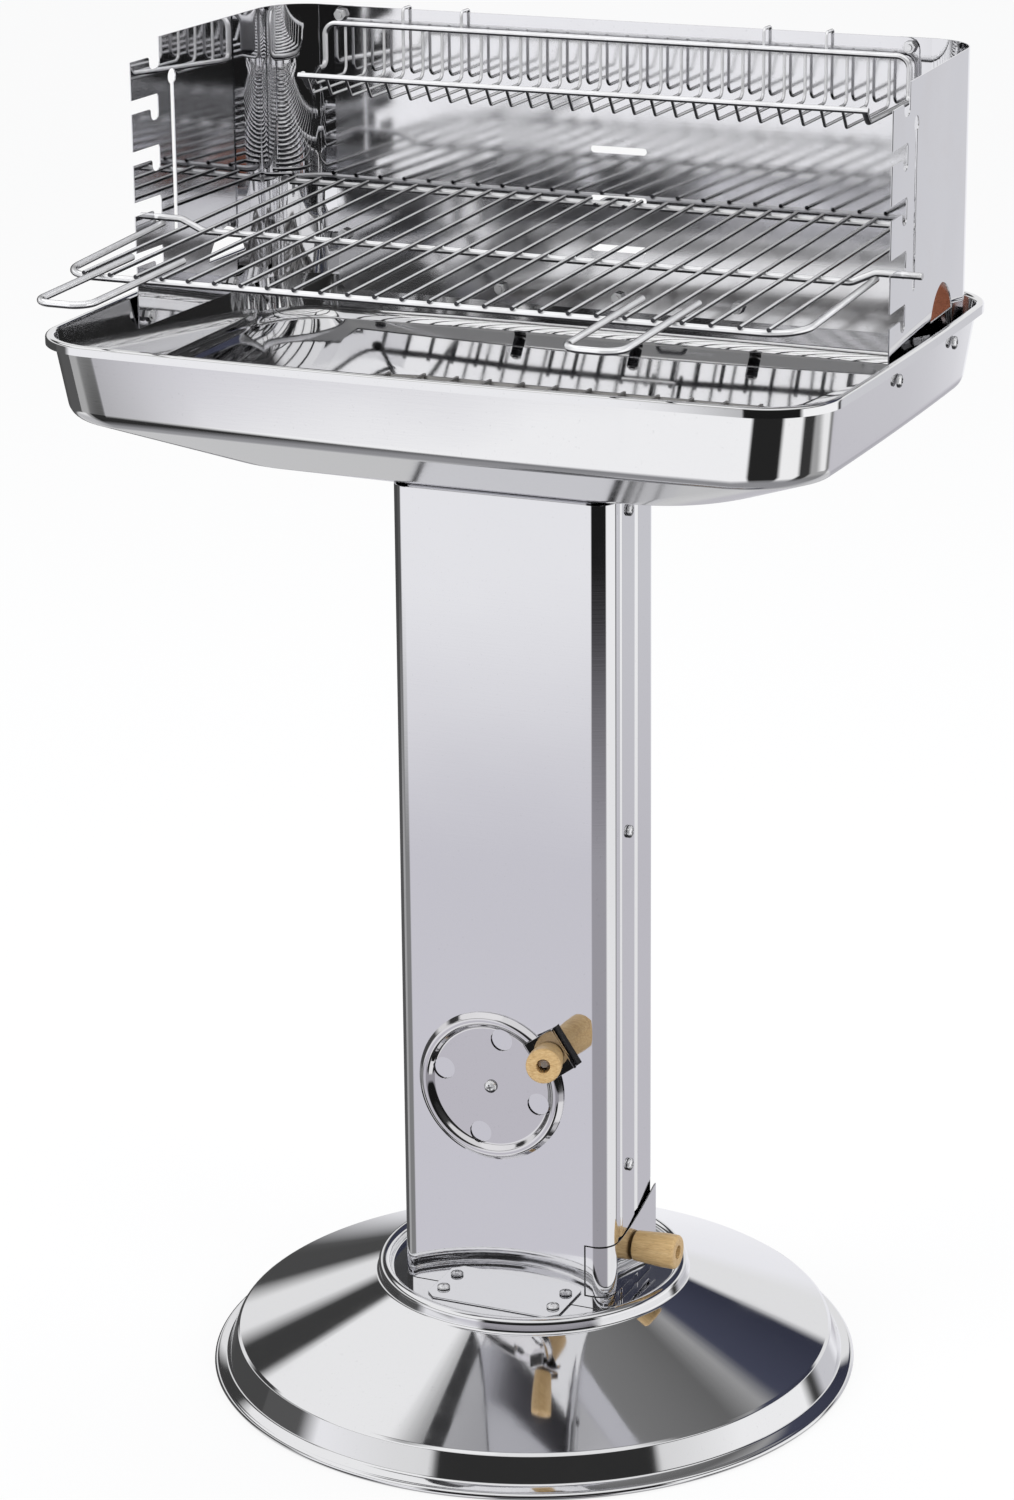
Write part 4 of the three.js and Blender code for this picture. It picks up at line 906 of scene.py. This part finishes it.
def dress_column(metal):
    groove_back = LAP_END - LAP_LENGTH - GAP - GROOVE_SLOPE
    groove_front = groove_back - GROOVE_WIDTH
    corners = [
        (-COLUMN_HALF, LAP_END), (-COLUMN_HALF, groove_back),
        (-COLUMN_HALF + GROOVE_DEPTH, groove_back - GROOVE_SLOPE),
        (-COLUMN_HALF + GROOVE_DEPTH, groove_front + GROOVE_SLOPE), (-COLUMN_HALF, groove_front),
        (-COLUMN_HALF, COLUMN_FRONT), (0, COLUMN_FRONT),
    ]
    side = rounded(corners, [FOLD_ROUND] * 4 + [COLUMN_CORNER])[:-1]
    low = PLATE_HEIGHT + GAP
    front = sheet_wall("column_front_skin", side + mirrored(side), SHEET, low, COLUMN_TOP)
    between = VENT_HOLE_ANGLE + 180 / VENT_HOLES
    air = air_holes(VENT_CENTRE[::2], between, "y", COLUMN_FRONT - CUT_REACH, 0)
    finish_sheet(front, channel_cutters(air), metal, "stand", "column_front_channel")
    lap = COLUMN_HALF - SHEET - GAP
    corners = [
        (-lap, LAP_END - LAP_LENGTH), (-lap, LAP_END + GAP), (-COLUMN_HALF, LAP_END + GAP + JOG_LENGTH),
        (-COLUMN_HALF, COLUMN_BACK), (0, COLUMN_BACK),
    ]
    side = rounded(corners, [FOLD_ROUND] * 2 + [COLUMN_CORNER])[:-1]
    path = list(reversed(side + mirrored(side)))
    rear = sheet_wall("column_rear_skin", path, SHEET, low, COLUMN_TOP)
    finish_sheet(rear, channel_cutters(), metal, "stand", "column_rear_channel")
    foot_tab("front_foot_tab", COLUMN_FRONT, -1, metal)
    foot_tab("rear_foot_tab", COLUMN_BACK, 1, metal)


# Ash drawer

def dress_drawer(metal, satin):
    corner = COLUMN_FRONT + COLUMN_CORNER
    slope = DRAWER_FLARE / (DRAWER_BACK - corner)
    corners = [
        (DRAWER_SEAM_X, COLUMN_FRONT), (COLUMN_HALF, COLUMN_FRONT),
        (COLUMN_HALF + slope * COLUMN_CORNER, corner + COLUMN_CORNER),
        (COLUMN_HALF + DRAWER_FLARE, DRAWER_BACK),
    ]
    path = rounded(corners, [COLUMN_CORNER, 0])
    front = sheet_wall("drawer_front_skin", path, SHEET, DRAWER_LOW, DRAWER_BACK_TOP)
    side = prism("side", drawer_profile(0), "x", *DRAWER_CUT)
    finish_sheet(front, [side], metal, "ash_drawer", "ash_drawer_front", operation="INTERSECT")
    low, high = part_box("ash_drawer_tray")
    corners = [(low.x, high.y), (low.x, low.y), (high.x, low.y), (high.x, high.y), (low.x, high.y)]
    outline = rounded(corners, [TRAY_CORNER, COLUMN_CORNER - SHEET, TRAY_CORNER])
    tray = sheet_wall("drawer_tray_skin", outline, SHEET, low.z, high.z)
    finish_piece(tray, satin, "ash_drawer", ["ash_drawer_tray"])
    floor = prism("drawer_tray_floor", flat(outline[:-1]), "z", low.z, low.z + SHEET)
    finish_piece(floor, satin, "ash_drawer")


# Knobs

def knob_piece(name, node, body, transform, wood):
    bore_floor = KNOB_LENGTH - KNOB_BORE_DEPTH
    corners = [
        (SHANK_RADIUS + GAP, bore_floor), (KNOB_BORE, bore_floor), (KNOB_BORE, KNOB_LENGTH),
        (KNOB_RADIUS, KNOB_LENGTH), (KNOB_RADIUS, KNOB_LENGTH * (1 - KNOB_WAIST_SHARE)),
        ((KNOB_FOOT_RADIUS + KNOB_RADIUS) / 2, KNOB_LENGTH * KNOB_WAIST_SHARE), (KNOB_FOOT_RADIUS, 0),
        (SHANK_RADIUS + GAP, 0),
    ]
    knob = lathe(name, flat(rounded(corners, KNOB_ROUNDS, 8)), closed=True, steps=96)
    knob.data.transform(transform)
    knob.data.update()
    finish_piece(knob, wood, body, [node], 50)


def vent_frame():
    turn = Matrix.Rotation(RIGHT_ANGLE, 4, "X") @ Matrix.Rotation(math.radians(VENT_TAB_ANGLE), 4, "Z")
    return Matrix.Translation(VENT_CENTRE) @ turn


def vent_knob_frame():
    tilt = math.radians(VENT_TAB_TILT)
    seat_radius = (VENT_TAB_INNER + VENT_TAB_OUTER) / 2 - WIND_SHEET
    seat_height = VENT_TAB_RISE - (seat_radius - VENT_TAB_INNER) * math.tan(tilt)
    seat = Vector((seat_radius, 0, seat_height))
    seat += Vector((math.sin(tilt), 0, math.cos(tilt))) * (WIND_SHEET + GAP)
    return vent_frame() @ Matrix.Translation(seat) @ Matrix.Rotation(tilt, 4, "Y")


def drawer_knob_frame():
    low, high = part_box("ash_drawer_knob")
    foot = Vector((low.x, (low.y + high.y) / 2, (low.z + high.z) / 2))
    return Matrix.Translation(foot) @ Matrix.Rotation(RIGHT_ANGLE, 4, "Y")


# Vent

def dress_vent(metal):
    ring_top = WIND_SHEET + VENT_RING_HEIGHT
    corners = [
        (VENT_BORE, WIND_SHEET), (VENT_RING_INNER, WIND_SHEET),
        (VENT_RING_INNER + VENT_RING_HEIGHT, ring_top), (VENT_RADIUS - VENT_RING_HEIGHT, ring_top),
        (VENT_RADIUS, WIND_SHEET * 0.9),
    ]
    dish = lathe("vent_skin", flat(rounded(corners, VENT_ROUNDS, 6)))
    thicken(dish, WIND_SHEET * 0.85)
    carve(dish, air_holes((0, 0), VENT_HOLE_ANGLE - VENT_TAB_ANGLE, "z", -CUT_REACH, CUT_REACH, 64))
    dish.data.transform(vent_frame())
    finish_piece(dish, metal, "vent", ["vent_disc"])
    fall = (VENT_TAB_OUTER - VENT_TAB_INNER) * math.tan(math.radians(VENT_TAB_TILT))
    corners = [
        (VENT_TAB_INNER - VENT_TAB_RISE / 2, WIND_SHEET), (VENT_TAB_INNER, VENT_TAB_RISE),
        (VENT_TAB_OUTER, VENT_TAB_RISE - fall),
        (VENT_TAB_OUTER + WIND_SHEET, VENT_TAB_RISE - fall + VENT_TAB_LIP),
    ]
    path = list(reversed(rounded(corners, VENT_TAB_ROUNDS, 6)))
    outline = flat(path) + flat(reversed(sheet_strip(path, WIND_SHEET)))
    tab = prism("vent_tab", outline, "y", -VENT_TAB_HALF, VENT_TAB_HALF)
    soften(tab)
    tab.data.transform(vent_frame())
    finish_piece(tab, metal, "vent")


# Bowl

def bowl_ring(half, half_depth, corner, bow, height, setback=0.0):
    points = []
    inner_x, inner_y = half - corner, half_depth - corner
    for sign_x, sign_y, start in ((1, 1, 0), (-1, 1, 90), (-1, -1, 180), (1, -1, 270)):
        points += arc((sign_x * inner_x, sign_y * inner_y), corner, start, 90, BOWL_CORNER_STEPS)
        for k in range(1, BOWL_SIDE_STEPS):
            share = 1 - 2 * k / BOWL_SIDE_STEPS
            if sign_x * sign_y > 0:
                points.append((sign_x * share * inner_x, sign_y * half_depth))
            else:
                points.append((sign_x * half, sign_y * share * inner_y))
    ring = []
    for x, y in points:
        pull = 1 - (bow / half_depth) * (x / half) ** 2
        draw = 1 - (bow / 2 / half) * (y / half_depth) ** 2
        ring.append(Vector((x * draw, y * pull + setback, height)))
    return ring


def dress_bowl(metal):
    inset = RIM_WIDTH + WALL_TAPER
    rim = (BOWL_HALF, BOWL_HALF_DEPTH, BOWL_CORNER, BOWL_BOW)
    rim_corner = BOWL_CORNER - 2 * RING_STEP
    rim_inside = (BOWL_HALF - RIM_WIDTH, BOWL_HALF_DEPTH - RIM_WIDTH, rim_corner, BOWL_BOW)
    wall_foot = (BOWL_HALF - inset, BOWL_HALF_DEPTH - inset, BOWL_CORNER - RING_STEP, BOWL_BOW)
    hopper = (HOPPER_HALF, HOPPER_HALF_DEPTH, HOPPER_CORNER, 0)
    spigot = (SPIGOT_HALF, SPIGOT_HALF_DEPTH, SPIGOT_CORNER, 0)
    keys = [
        bowl_ring(*rim, RIM_HEIGHT - RIM_LIP), bowl_ring(*rim, RIM_HEIGHT),
        bowl_ring(*rim_inside, RIM_HEIGHT), bowl_ring(*wall_foot, WALL_BOTTOM),
        bowl_ring(*hopper, HOPPER_HEIGHT), bowl_ring(*spigot, SPIGOT_TOP, SPIGOT_SETBACK),
        bowl_ring(*spigot, SPIGOT_BOTTOM, SPIGOT_SETBACK),
    ]
    columns = [rounded(corners, BOWL_ROUNDS, 8) for corners in zip(*keys)]
    bowl = skin("bowl_skin", columns)
    facing_up(bowl)
    thicken(bowl, SHEET)
    finish_piece(bowl, metal, "stand", ["fire_bowl"], 60)


def facing_up(obj):
    """Turns an open surface so that its nearly level faces look upwards."""
    total = sum(face.normal.z * face.area for face in obj.data.polygons)
    if total < 0:
        obj.data.flip_normals()


# Windshield

def hook_outlines():
    """The grate's slots in a side sheet's front edge, and the step over the uppermost one."""
    edge = WIND_STRIP_FRONT - OVERRUN
    radii = [HOOK_SMALL_ROUND, HOOK_ROUND, HOOK_ROUND, HOOK_SMALL_ROUND]
    outlines = []
    for k in range(HOOK_COUNT):
        top = HOOK_TOP - k * HOOK_PITCH
        low, entry = top - HOOK_DROP, top - HOOK_ENTRY
        corners = [
            (edge, top), (HOOK_BACK, top), (HOOK_BACK, low), (HOOK_FRONT, low), (HOOK_FRONT, entry),
            (edge, entry),
        ]
        outlines.append(flat(rounded(corners, radii, 6)))
    pocket, above = HOOK_TOP + HOOK_PITCH - HOOK_DROP, WIND_TOP + OVERRUN
    step = [
        (edge, STRIP_TOP), (HOOK_FRONT, STRIP_TOP), (HOOK_FRONT, pocket), (WIND_FRONT, pocket),
        (WIND_FRONT, above), (edge, above),
    ]
    outlines.append(flat(rounded(step, [HOOK_SMALL_ROUND, HOOK_ROUND, HOOK_ROUND, 0], 6)))
    return outlines


def key_slot_outline():
    """A long slot with a round head, for a spit."""
    half = KEY_SLOT_WIDTH / 2
    neck = math.degrees(math.asin(half / KEY_SLOT_HEAD))
    head = arc((KEY_SLOT_Y, KEY_SLOT_TOP), KEY_SLOT_HEAD, neck - 90, 360 - 2 * neck, 28)
    return head + arc((KEY_SLOT_Y, KEY_SLOT_BOTTOM + half), half, 180, 180, 8)


def arch_outline():
    """The pointed window in a side sheet."""
    rise = ARCH_APEX - ARCH_BASE
    control = Vector((-ARCH_HALF * 0.75, rise * 0.85))
    left = quadratic(Vector((-ARCH_HALF, 0)), control, Vector((0, rise)), 12)
    return [(ARCH_Y + point.x, ARCH_BASE + point.y) for point in left + mirrored(left[:-1])]


def plate_outline(left, right, first, second, corner, steps):
    """A rectangle with round corners, from the middle of one level edge all the way round."""
    corners = [(0, first), (left, first), (left, second), (right, second), (right, first), (0, first)]
    return flat(rounded(corners, [corner] * 4, steps)[:-1])


def dress_windshield(metal, rear_metal):
    corners = [
        (-WIND_FRONT_HALF, WIND_STRIP_FRONT), (-WIND_REAR_HALF, WIND_REAR),
        (-REAR_HALF + WIND_RETURN, WIND_REAR),
    ]
    side_path = rounded(corners, [WIND_CORNER], 32)
    for name, side in (("left", -1), ("right", 1)):
        path = [Vector((-side * point.x, point.y)) for point in side_path]
        if side < 0:
            path.reverse()
        panel = sheet_wall("windshield_%s_skin" % name, path, WIND_SHEET, WIND_BOTTOM, WIND_TOP)
        span = sorted(side * place for place in SIDE_CUT)
        outlines = hook_outlines() + [key_slot_outline(), arch_outline()]
        cutters = [prism("cut", outline, "x", *span) for outline in outlines]
        finish_sheet(panel, cutters, metal, "stand", "windshield_" + name, THIN_EDGE_ROUND)
    low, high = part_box("windshield_rear")
    outline = plate_outline(low.x, high.x, low.z, high.z, REAR_CORNER, 10)
    rear = prism("windshield_rear_skin", outline, "y", low.y, high.y)
    width, height = REAR_SLOT
    cutters = []
    for k in range(REAR_SLOTS):
        top = REAR_SLOT_TOP + height / 2 - k * HOOK_PITCH
        outline = plate_outline(-width / 2, width / 2, top, top - height, height * 0.45, 5)
        cutters.append(prism("slot", outline, "y", *REAR_CUT))
    finish_sheet(rear, cutters, rear_metal, "stand", "windshield_rear", THIN_EDGE_ROUND)


# Grates and rack

def grate_transform():
    tilt = math.asin(GRATE_SAG / (HOOK_LINE_Y - HOOK_WIRE_Y))
    return Matrix.Translation((0, HOOK_LINE_Y, HOOK_LINE_Z)) @ Matrix.Rotation(tilt, 4, "X")


def finish_wires(pieces, metals, node):
    """The first piece stands for the node, and the others ride with it."""
    for piece, metal in zip(pieces, metals):
        finish_piece(piece, metal, node, [node] if piece is pieces[0] else ())


def wire_loop(left, right, start, turn, level, corner, steps=ARC_STEPS):
    """A level wire that runs out, across and back."""
    corners = [(left, start, level), (left, turn, level), (right, turn, level), (right, start, level)]
    return rounded(corners, corner, steps)


def dress_cooking_grate(chrome, rods):
    frame_line = HOOK_WIRE_Y - HOOK_LINE_Y
    tilt = math.asin(GRATE_SAG / -frame_line)
    front, rear = GRATE_FRONT - HOOK_LINE_Y, REAR_WIRE_Y - HOOK_LINE_Y
    rod_level = FRAME_WIRE / 2 + ROD_WIRE / 2 - WELD_SINK
    pocket_floor = HOOK_TOP - 2 * HOOK_PITCH - HOOK_DROP
    raised = (pocket_floor + GAP + FRAME_WIRE / 2 - HOOK_LINE_Z + GRATE_SAG) / math.cos(tilt)
    side_rise = raised - FRAME_WIRE + WELD_SINK
    ramp_foot = GRATE_RIGHT - HOOK_WIRE_RAMP
    last = FIRST_ROD + (ROD_COUNT - 1) * ROD_SPACING
    frame_corners = [
        (GRATE_LEFT, frame_line, side_rise), (GRATE_LEFT, front, 0), (GRATE_RIGHT, front, 0),
        (GRATE_RIGHT, frame_line, side_rise),
    ]
    hook_corners = [
        (-HOOK_WIRE_REACH, frame_line, raised), (-GRATE_RIGHT, frame_line, raised),
        (-ramp_foot, frame_line, 0), (ramp_foot, frame_line, 0), (GRATE_RIGHT, frame_line, raised),
        (HOOK_WIRE_REACH, frame_line, raised),
    ]
    thick = [rounded(frame_corners, GRATE_CORNER), rounded(hook_corners, RAMP_ROUND, 8)]
    thick.append([Vector((FIRST_ROD - ROD_WIRE, rear, 0)), Vector((last + ROD_WIRE, rear, 0))])
    root, tip = front + GRIP_ROOT, GRIP_TIP + FRAME_WIRE / 2 - HOOK_LINE_Y
    for x in GRIPS_X:
        left, right = x - GRIP_HALF, x + GRIP_HALF
        thick.append(wire_loop(left, right, root, tip, FRAME_WIRE - WELD_SINK, GRIP_CORNER))
    thin, crossings = [], []
    for i in range(ROD_COUNT):
        x = FIRST_ROD + i * ROD_SPACING
        bow = seeded.uniform(-ROD_BOW, ROD_BOW)
        middle = Vector((x + bow, (front + rear) / 2, rod_level - ROD_DIP))
        ends = [Vector((x, y, rod_level)) for y in (front - ROD_WIRE, rear + ROD_WIRE)]
        thin.append([ends[0], middle, ends[1]])
        crossed = (front, rear, frame_line) if abs(x) < ramp_foot else (front, rear)
        crossings += [(x, y, rod_level - BEAD_SINK) for y in crossed]
    loop_root = rear - FRAME_WIRE
    thin.append(wire_loop(-HOOK_LOOP_HALF, HOOK_LOOP_HALF, loop_root, FRAME_WIRE, 0, HOOK_LOOP_CORNER, 8))
    place = grate_transform()
    pieces = [
        wires("grate_frame_wires", [[place @ p for p in path] for path in thick], FRAME_WIRE / 2, 6),
        wires("grate_rods", [[place @ p for p in path] for path in thin], ROD_WIRE / 2, 5),
        beads("grate_welds", [place @ Vector(p) for p in crossings], GRATE_BEAD),
    ]
    finish_wires(pieces, (chrome, rods, chrome), "cooking_grate")


def dress_warming_rack(chrome):
    front = RACK_BACK - RACK_DEPTH
    lip_line, lip_height = front - RACK_LIP_REACH, RACK_FLOOR + RACK_LIP_HEIGHT
    frame_back = RACK_BACK - RACK_THIN_WIRE / 2 - RACK_WIRE / 2 + WELD_SINK
    spacing = (RACK_RIGHT - RACK_LEFT) / (RACK_WIRES - 1)
    frame_floor = RACK_FLOOR + RACK_END_RISE
    welded_pair = (RACK_WIRE + RACK_THIN_WIRE) / 2 - WELD_SINK
    front_left = RACK_LEFT + spacing * (RACK_SHORT_WIRES + 1) - welded_pair
    straight_end = frame_back - RACK_END_STRAIGHT

    def lip(x, floor):
        return [(x, lip_line, lip_height), (x, front, floor)]

    def short_end(x):
        meeting = front + (straight_end - front) * (front_left - x) / (front_left - RACK_LEFT)
        return [(x, meeting, frame_floor), (x, meeting + RACK_END_RISE, RACK_FLOOR)]

    hook_top, hook_end = WIND_TOP + RACK_THIN_WIRE / 2, WIND_TOP - RACK_HOOK_DROP
    beyond = 2 * HOOK_LINE_Y - RACK_BACK
    thin, crossings = [], []
    for i in range(1, RACK_WIRES - 1):
        x = RACK_LEFT + i * spacing
        ends, bends = [(x, RACK_BACK, RACK_TOP)], [RACK_LIP_BEND, RACK_BEND]
        if i in RACK_HOOKS:
            ends = [(x, RACK_BACK, hook_top), (x, beyond, hook_top), (x, beyond, hook_end)]
            bends += [RACK_HOOK_BEND, RACK_HOOK_BEND]
        if i > RACK_SHORT_WIRES:
            start = lip(x, RACK_FLOOR)
            crossings.append((x, lip_line - RACK_BEAD_OUT, lip_height - 2 * RACK_BEAD_OUT))
        else:
            start = short_end(x)
            crossings.append(start[0])
        thin.append(rounded(start + [(x, RACK_BACK, RACK_FLOOR)] + ends, bends, 8))
        crossings.append((x, RACK_BACK - RACK_BEAD_BACK, RACK_TOP - RACK_BEAD_BACK))
    top_line = RACK_TOP - WELD_SINK
    frame_path = lip(front_left, frame_floor) + [
        (RACK_LEFT, straight_end, frame_floor), (RACK_LEFT, frame_back, frame_floor),
        (RACK_LEFT, frame_back, top_line), (RACK_RIGHT, frame_back, top_line),
        (RACK_RIGHT, frame_back, frame_floor),
    ]
    frame_path += lip(RACK_RIGHT, frame_floor)[::-1]
    frame_bends = [RACK_WIRE, RACK_BEND, RACK_BEND, RACK_CORNER, RACK_CORNER, RACK_BEND, RACK_WIRE]
    front_ends = (front_left - RACK_WIRE / 2, RACK_RIGHT + RACK_WIRE)
    front_line = lip_line - RACK_WIRE / 2
    front_wire = [Vector((x, front_line, lip_height - WELD_SINK)) for x in front_ends]
    pieces = [
        wires("rack_frame_wires", [rounded(frame_path, frame_bends, 10), front_wire], RACK_WIRE / 2, 6),
        wires("rack_thin_wires", thin, RACK_THIN_WIRE / 2, 4), beads("rack_welds", crossings, RACK_BEAD),
    ]
    finish_wires(pieces, (chrome, chrome, chrome), "warming_rack")


# Fasteners

def screw_mesh():
    """A pan head with a cross recess, its seat at height zero."""
    corners = [
        (0, HEAD_HEIGHT), (HEAD_RADIUS * 0.75, HEAD_HEIGHT * 0.95), (HEAD_RADIUS, HEAD_HEIGHT * 0.45),
        (HEAD_RADIUS, 0), (0, 0),
    ]
    head = lathe("screw_head", flat(rounded(corners, HEAD_ROUNDS, 5)), steps=32)
    arm, above = CROSS_REACH, HEAD_HEIGHT + CROSS_RISE
    outline = [(-arm, above), (arm, above), (CROSS_TIP, CROSS_FLOOR), (-CROSS_TIP, CROSS_FLOOR)]
    cutters = []
    for turn in (0, RIGHT_ANGLE):
        slot = prism("cross", outline, "y", -CROSS_HALF, CROSS_HALF)
        slot.data.transform(Matrix.Rotation(turn + CROSS_TURN, 4, "Z"))
        cutters.append(slot)
    carve(head, cutters)
    mesh = head.data
    # Faces sunk in the cross recess get the second material, a near-black painted shade.
    for face in mesh.polygons:
        sunk = face.normal.z < 0.6 or face.center.z < HEAD_HEIGHT * 0.6
        face.material_index = int(sunk and face.center.xy.length < arm)
    smooth_by_angle(mesh, 35)
    bpy.data.objects.remove(head)
    return mesh


def nut_mesh():
    """A chamfered hexagon nut with the end of its screw showing."""
    corner = NUT_WIDTH / 2 / math.cos(math.radians(30))
    nut = rod("nut", (0, 0), corner, "z", 0, NUT_HEIGHT, 6)
    outer = corner + NUT_CLEAR
    profile = [
        (0, NUT_HEIGHT), (NUT_WIDTH / 2, NUT_HEIGHT), (outer, NUT_HEIGHT - NUT_CHAMFER),
        (outer, -NUT_CLEAR), (0, -NUT_CLEAR),
    ]
    carve(nut, [lathe("chamfer", profile, steps=48)], "INTERSECT")
    stub = rod("stub", (0, 0), SHANK_RADIUS, "z", 0, NUT_HEIGHT + NUT_STUB, 24)
    build = bmesh.new()
    build.from_mesh(nut.data)
    build.from_mesh(stub.data)
    mesh = bpy.data.meshes.new("nut")
    build.to_mesh(mesh)
    build.free()
    smooth_by_angle(mesh, 30)
    bpy.data.objects.remove(nut)
    bpy.data.objects.remove(stub)
    return mesh


DIRECTIONS = {
    "up": Vector((0, 0, 1)), "front": Vector((0, -1, 0)), "back": Vector((0, 1, 0)),
    "right": Vector((1, 0, 0)), "left": Vector((-1, 0, 0)),
}


def fastener_direction(node):
    if node.startswith("foot_"):
        return "up"
    if node == "vent_pivot_screw":
        return "front"
    if node.startswith(("column_screw", "bowl_screw")):
        return node.rsplit("_", 1)[1]
    if node.startswith("bowl_nut"):
        return {"left": "right", "right": "left"}[node.rsplit("_", 1)[1]]
    return "front" if "nut" in node else "back"


def dress_fasteners(zinc, recess):
    head, nut = screw_mesh(), nut_mesh()
    paint(head, zinc, recess)
    paint(nut, zinc)
    for node in sorted(frame["nodes"]):
        is_screw = "_screw" in node and "knob" not in node
        if not is_screw and "_nut_" not in node:
            continue
        direction = DIRECTIONS[fastener_direction(node)]
        low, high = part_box(node)
        middle = (low + high) / 2
        extent = abs(direction.dot((high - low) / 2))
        seat = middle + direction * (extent - (HEAD_HEIGHT if is_screw else NUT_HEIGHT))
        if "foot_nut" in node:
            seat, direction = middle + direction * extent, -direction
        turn = direction.to_track_quat("Z", "Y").to_matrix().to_4x4()
        spin = Matrix.Rotation(seeded.uniform(0, math.pi), 4, "Z")
        obj = linked(node + ("_head" if is_screw else "_body"), head if is_screw else nut)
        obj.matrix_world = Matrix.Translation(seat) @ turn @ spin
        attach(obj, "stand")
        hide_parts(node)


def dress_rest(satin, zinc, wire_steel):
    """The pieces that are seen as their solids are."""
    nodes = frame["nodes"]
    paint(nodes["drawer_guide"].data, satin)
    paint(nodes["charcoal_grate"].data, wire_steel)
    for node in sorted(nodes):
        if "sleeve" in node or "knob_screw" in node:
            paint(nodes[node].data, zinc)


# The scene

def main():
    bpy.context.scene.view_settings.view_transform = "Standard"
    make_camera()
    studio_world()
    studio_lamps()
    studio_floor()
    pale = (0.84, 0.84, 0.86)
    sheet_lines = (12, 12, 700)
    polished = steel("polished_sheet", pale, 0.03, (18, 18, 900), wave=0.0004)
    spun = steel("spun_sheet", (0.84, 0.84, 0.855), 0.045, wave=0.0003)
    vent_sheet = steel("vent_sheet", (0.74, 0.73, 0.75), 0.045, wave=0.0002)
    wind = steel("windshield_sheet", pale, 0.018, sheet_lines, wave=0.0004, stain=0.08, heat=HEAT_CENTRE)
    rear_sheet = steel("rear_sheet", (0.88, 0.88, 0.9), 0.06, sheet_lines, wave=0.0006, stain=0.05)
    satin = steel("satin_sheet", (0.66, 0.66, 0.67), 0.22, (900, 40, 40), depth=0.00003)
    # These plated metals carry painted shade on their turned-away and downward faces.
    chrome = chromed("bright_wire_metal", 0.6, 0.8)
    rods = chromed("rod_metal", 0.68, 0.86, underside_shade=(0.72, 0.83))
    zinc = chromed("fastener_metal", 0.5, 0.75, (0.8, 0.8, 0.81))
    # Near-black painted shade for the screws' cross recesses.
    recess = steel("recess_metal", (0.06, 0.06, 0.065), 0.35)
    grate_wire = steel("plain_wire_metal", (0.42, 0.41, 0.4), 0.32)
    # Painted shade colour for the underside of the bowl.
    shaded = (0.55, 0.55, 0.57)
    bowl = steel("bowl_sheet", (0.89, 0.89, 0.9), 0.035, (60, 60, 900), wave=0.0004, underside_shade=shaded)
    wood_front = turned_wood("vent_knob_wood", (0, 0, RIGHT_ANGLE))
    wood_side = turned_wood("drawer_knob_wood", (0, 0, 0))
    dress_base(spun)
    dress_column(polished)
    dress_drawer(polished, satin)
    dress_vent(vent_sheet)
    knob_piece("vent_knob_turned", "vent_knob", "vent", vent_knob_frame(), wood_front)
    knob_piece("drawer_knob_turned", "ash_drawer_knob", "ash_drawer", drawer_knob_frame(), wood_side)
    dress_bowl(bowl)
    dress_windshield(wind, rear_sheet)
    dress_cooking_grate(chrome, rods)
    dress_warming_rack(chrome)
    dress_fasteners(zinc, recess)
    dress_rest(satin, zinc, grate_wire)


main()
